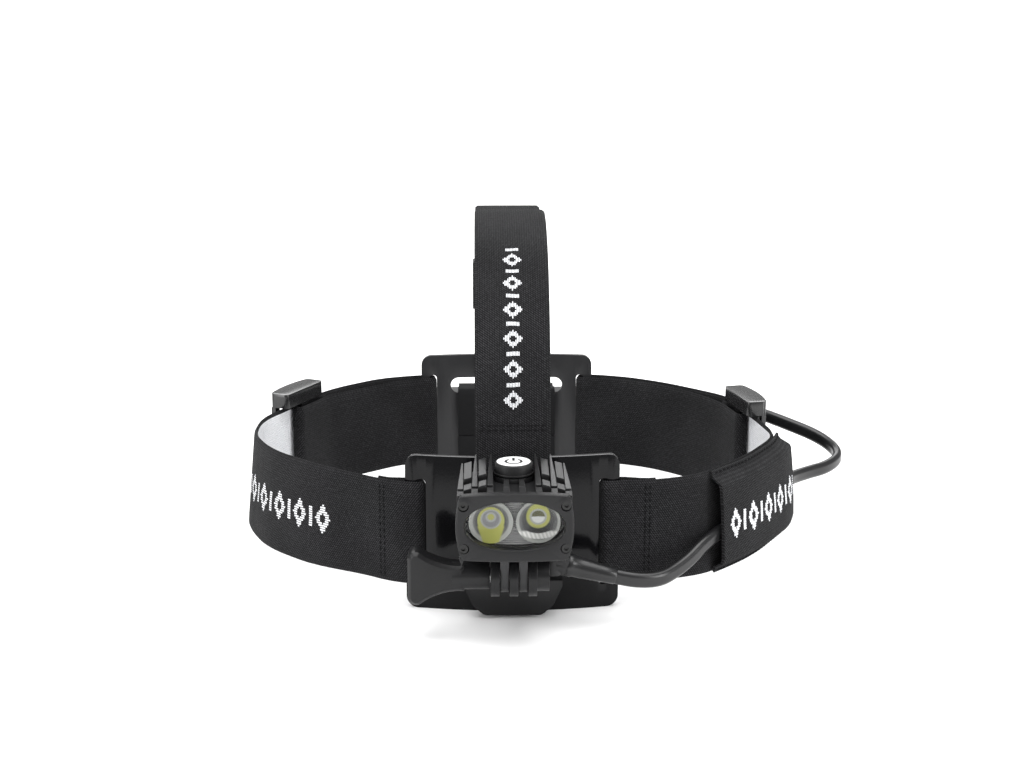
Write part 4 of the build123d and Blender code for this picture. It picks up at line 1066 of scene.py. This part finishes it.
flat_ring("button_print", 0.001, 5.45, PRINT_Z, PRINT, "button")
flat_ring("button_symbol", 2.1, 2.95, SYMBOL_Z, RUBBER.mat, "button", gap=1.15)
bar_half, bar_low, bar_high = 0.42, BUTTON_Y + 0.6, BUTTON_Y + 3.9
bar = [(-bar_half, bar_low), (bar_half, bar_low), (bar_half, bar_high), (-bar_half, bar_high)]
mesh_object(
    "button_symbol_bar", [(x, y, SYMBOL_Z) for x, y in bar], [(0, 1, 2, 3)], [RUBBER.mat], "button",
    smooth=False,
)

# CAD pieces with their finishes ----------------------------------------------------------------
for name, mat, bevel in (
    ("front_plate", GLOSS, 0.45), ("rear_plate", SATIN, 0.45), ("mount_base", MOUNT, 0.3),
    ("base_screws", SCREW, 0), ("quick_release_buckle", MOUNT, 0.25), ("pivot_nut", STEEL, 0.15),
    ("thumb_knob", KNOB, 0.3), ("pivot_bolt", STEEL, 0.1), ("lamp_foot", ANODISED, 0.2),
    ("foot_screws", SCREW, 0), ("bezel_screws", SCREW, 0), ("window_gasket", GASKET, 0),
    ("led_board", BOARD, 0), ("driver_board", BOARD, 0), ("tact_switch", GASKET, 0),
    ("button_ring", ANODISED, 0.1), ("cable_gland", RUBBER, 0.3), ("battery_case", SATIN, 0.2),
    ("battery_cover", SATIN, 0.3), ("battery_cell_1", FOIL, 0), ("battery_cell_2", FOIL, 0),
    ("battery_board", BOARD, 0), ("battery_socket", RUBBER, 0.2), ("cable_plug", RUBBER, 0.4),
    ("plug_relief", CABLE, 0.3), ("left_slider", SLIDER, 0.5), ("right_slider", SLIDER, 0.5),
    ("top_slider", SLIDER, 0.35), ("battery_band", WEB_INNER, 0.2),
):
    dress(name, mat, bevel)

[c * MM for c in boot_b]
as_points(cable_line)

PLATES = ["front_plate_look", "rear_plate_look"]
SLEEVE_CUT = 42.0
for strap, band, wide, start, held, rests, sewn_on in (
    (left_strap, LEFT, SIDE_WEB, 0.0, "stretched", PLATES + ["left_slider_look"],
     ["left_motif", "left_front_seam", "left_back_seam"]),
    (right_strap, RIGHT, SIDE_WEB, 0.0, "stretched", PLATES + ["right_slider_look"],
     ["right_front_seam", "right_back_seam"]),
    (top_strap, TOP, TOP_WEB, 0.0, "stretched", PLATES + ["top_slider_look"],
     ["top_motif", "top_front_seam"]),
    (sleeve, SLEEVE, SLEEVE_CUT, sleeve_from, "laid", ["right_webbing"], ["sleeve_motif", "sleeve_seam"]),
):
    pieces = [o for o in scene.objects if o.name.startswith(tuple(sewn_on))]
    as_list(rests)

# Stage -------------------------------------------------------------------------------------------
floor_mat = Mat("floor", (0.9, 0.9, 0.9), 0.9)
FAR = 14000
floor_corners = [(-FAR, -FAR, 0), (FAR, -FAR, 0), (FAR, FAR, 0), (-FAR, FAR, 0)]
floor = mesh_object("floor", floor_corners, [(0, 1, 2, 3)], [floor_mat.mat], None, smooth=False)
world = bpy.data.worlds.new("world")
scene.world = world
world.use_nodes = True
world.node_tree.nodes["Background"].inputs["Color"].default_value = (1, 1, 1, 1)
world.node_tree.nodes["Background"].inputs["Strength"].default_value = 0.45


def light(name, place, aim, size, power):
    """A soft square light, placed and aimed in metres."""
    data = bpy.data.lights.new(name, "AREA")
    data.shape = "RECTANGLE"
    data.size, data.size_y = size
    data.energy = power
    made = bpy.data.objects.new(name, data)
    made.location = place
    made.rotation_euler = (Vector(aim) - Vector(place)).to_track_quat("-Z", "Y").to_euler()
    scene.collection.objects.link(made)


sky = bpy.data.lights.new("overhead", "SUN")
sky.energy = 2.6
sky.angle = math.radians(70)
overhead = bpy.data.objects.new("overhead", sky)
overhead.rotation_euler = (math.radians(8), 0, 0)
scene.collection.objects.link(overhead)
light("top light", (0, -0.1, 1.1), (0, 0, 0.05), (1.2, 0.8), 8)
light("left light", (-1.0, -0.7, 0.45), (0, 0, 0.05), (0.4, 0.8), 9)
light("right light", (1.0, -0.7, 0.45), (0, 0, 0.05), (0.4, 0.8), 9)
light("back light", (0, 1.0, 0.7), (0, 0, 0.05), (1.2, 0.4), 6)
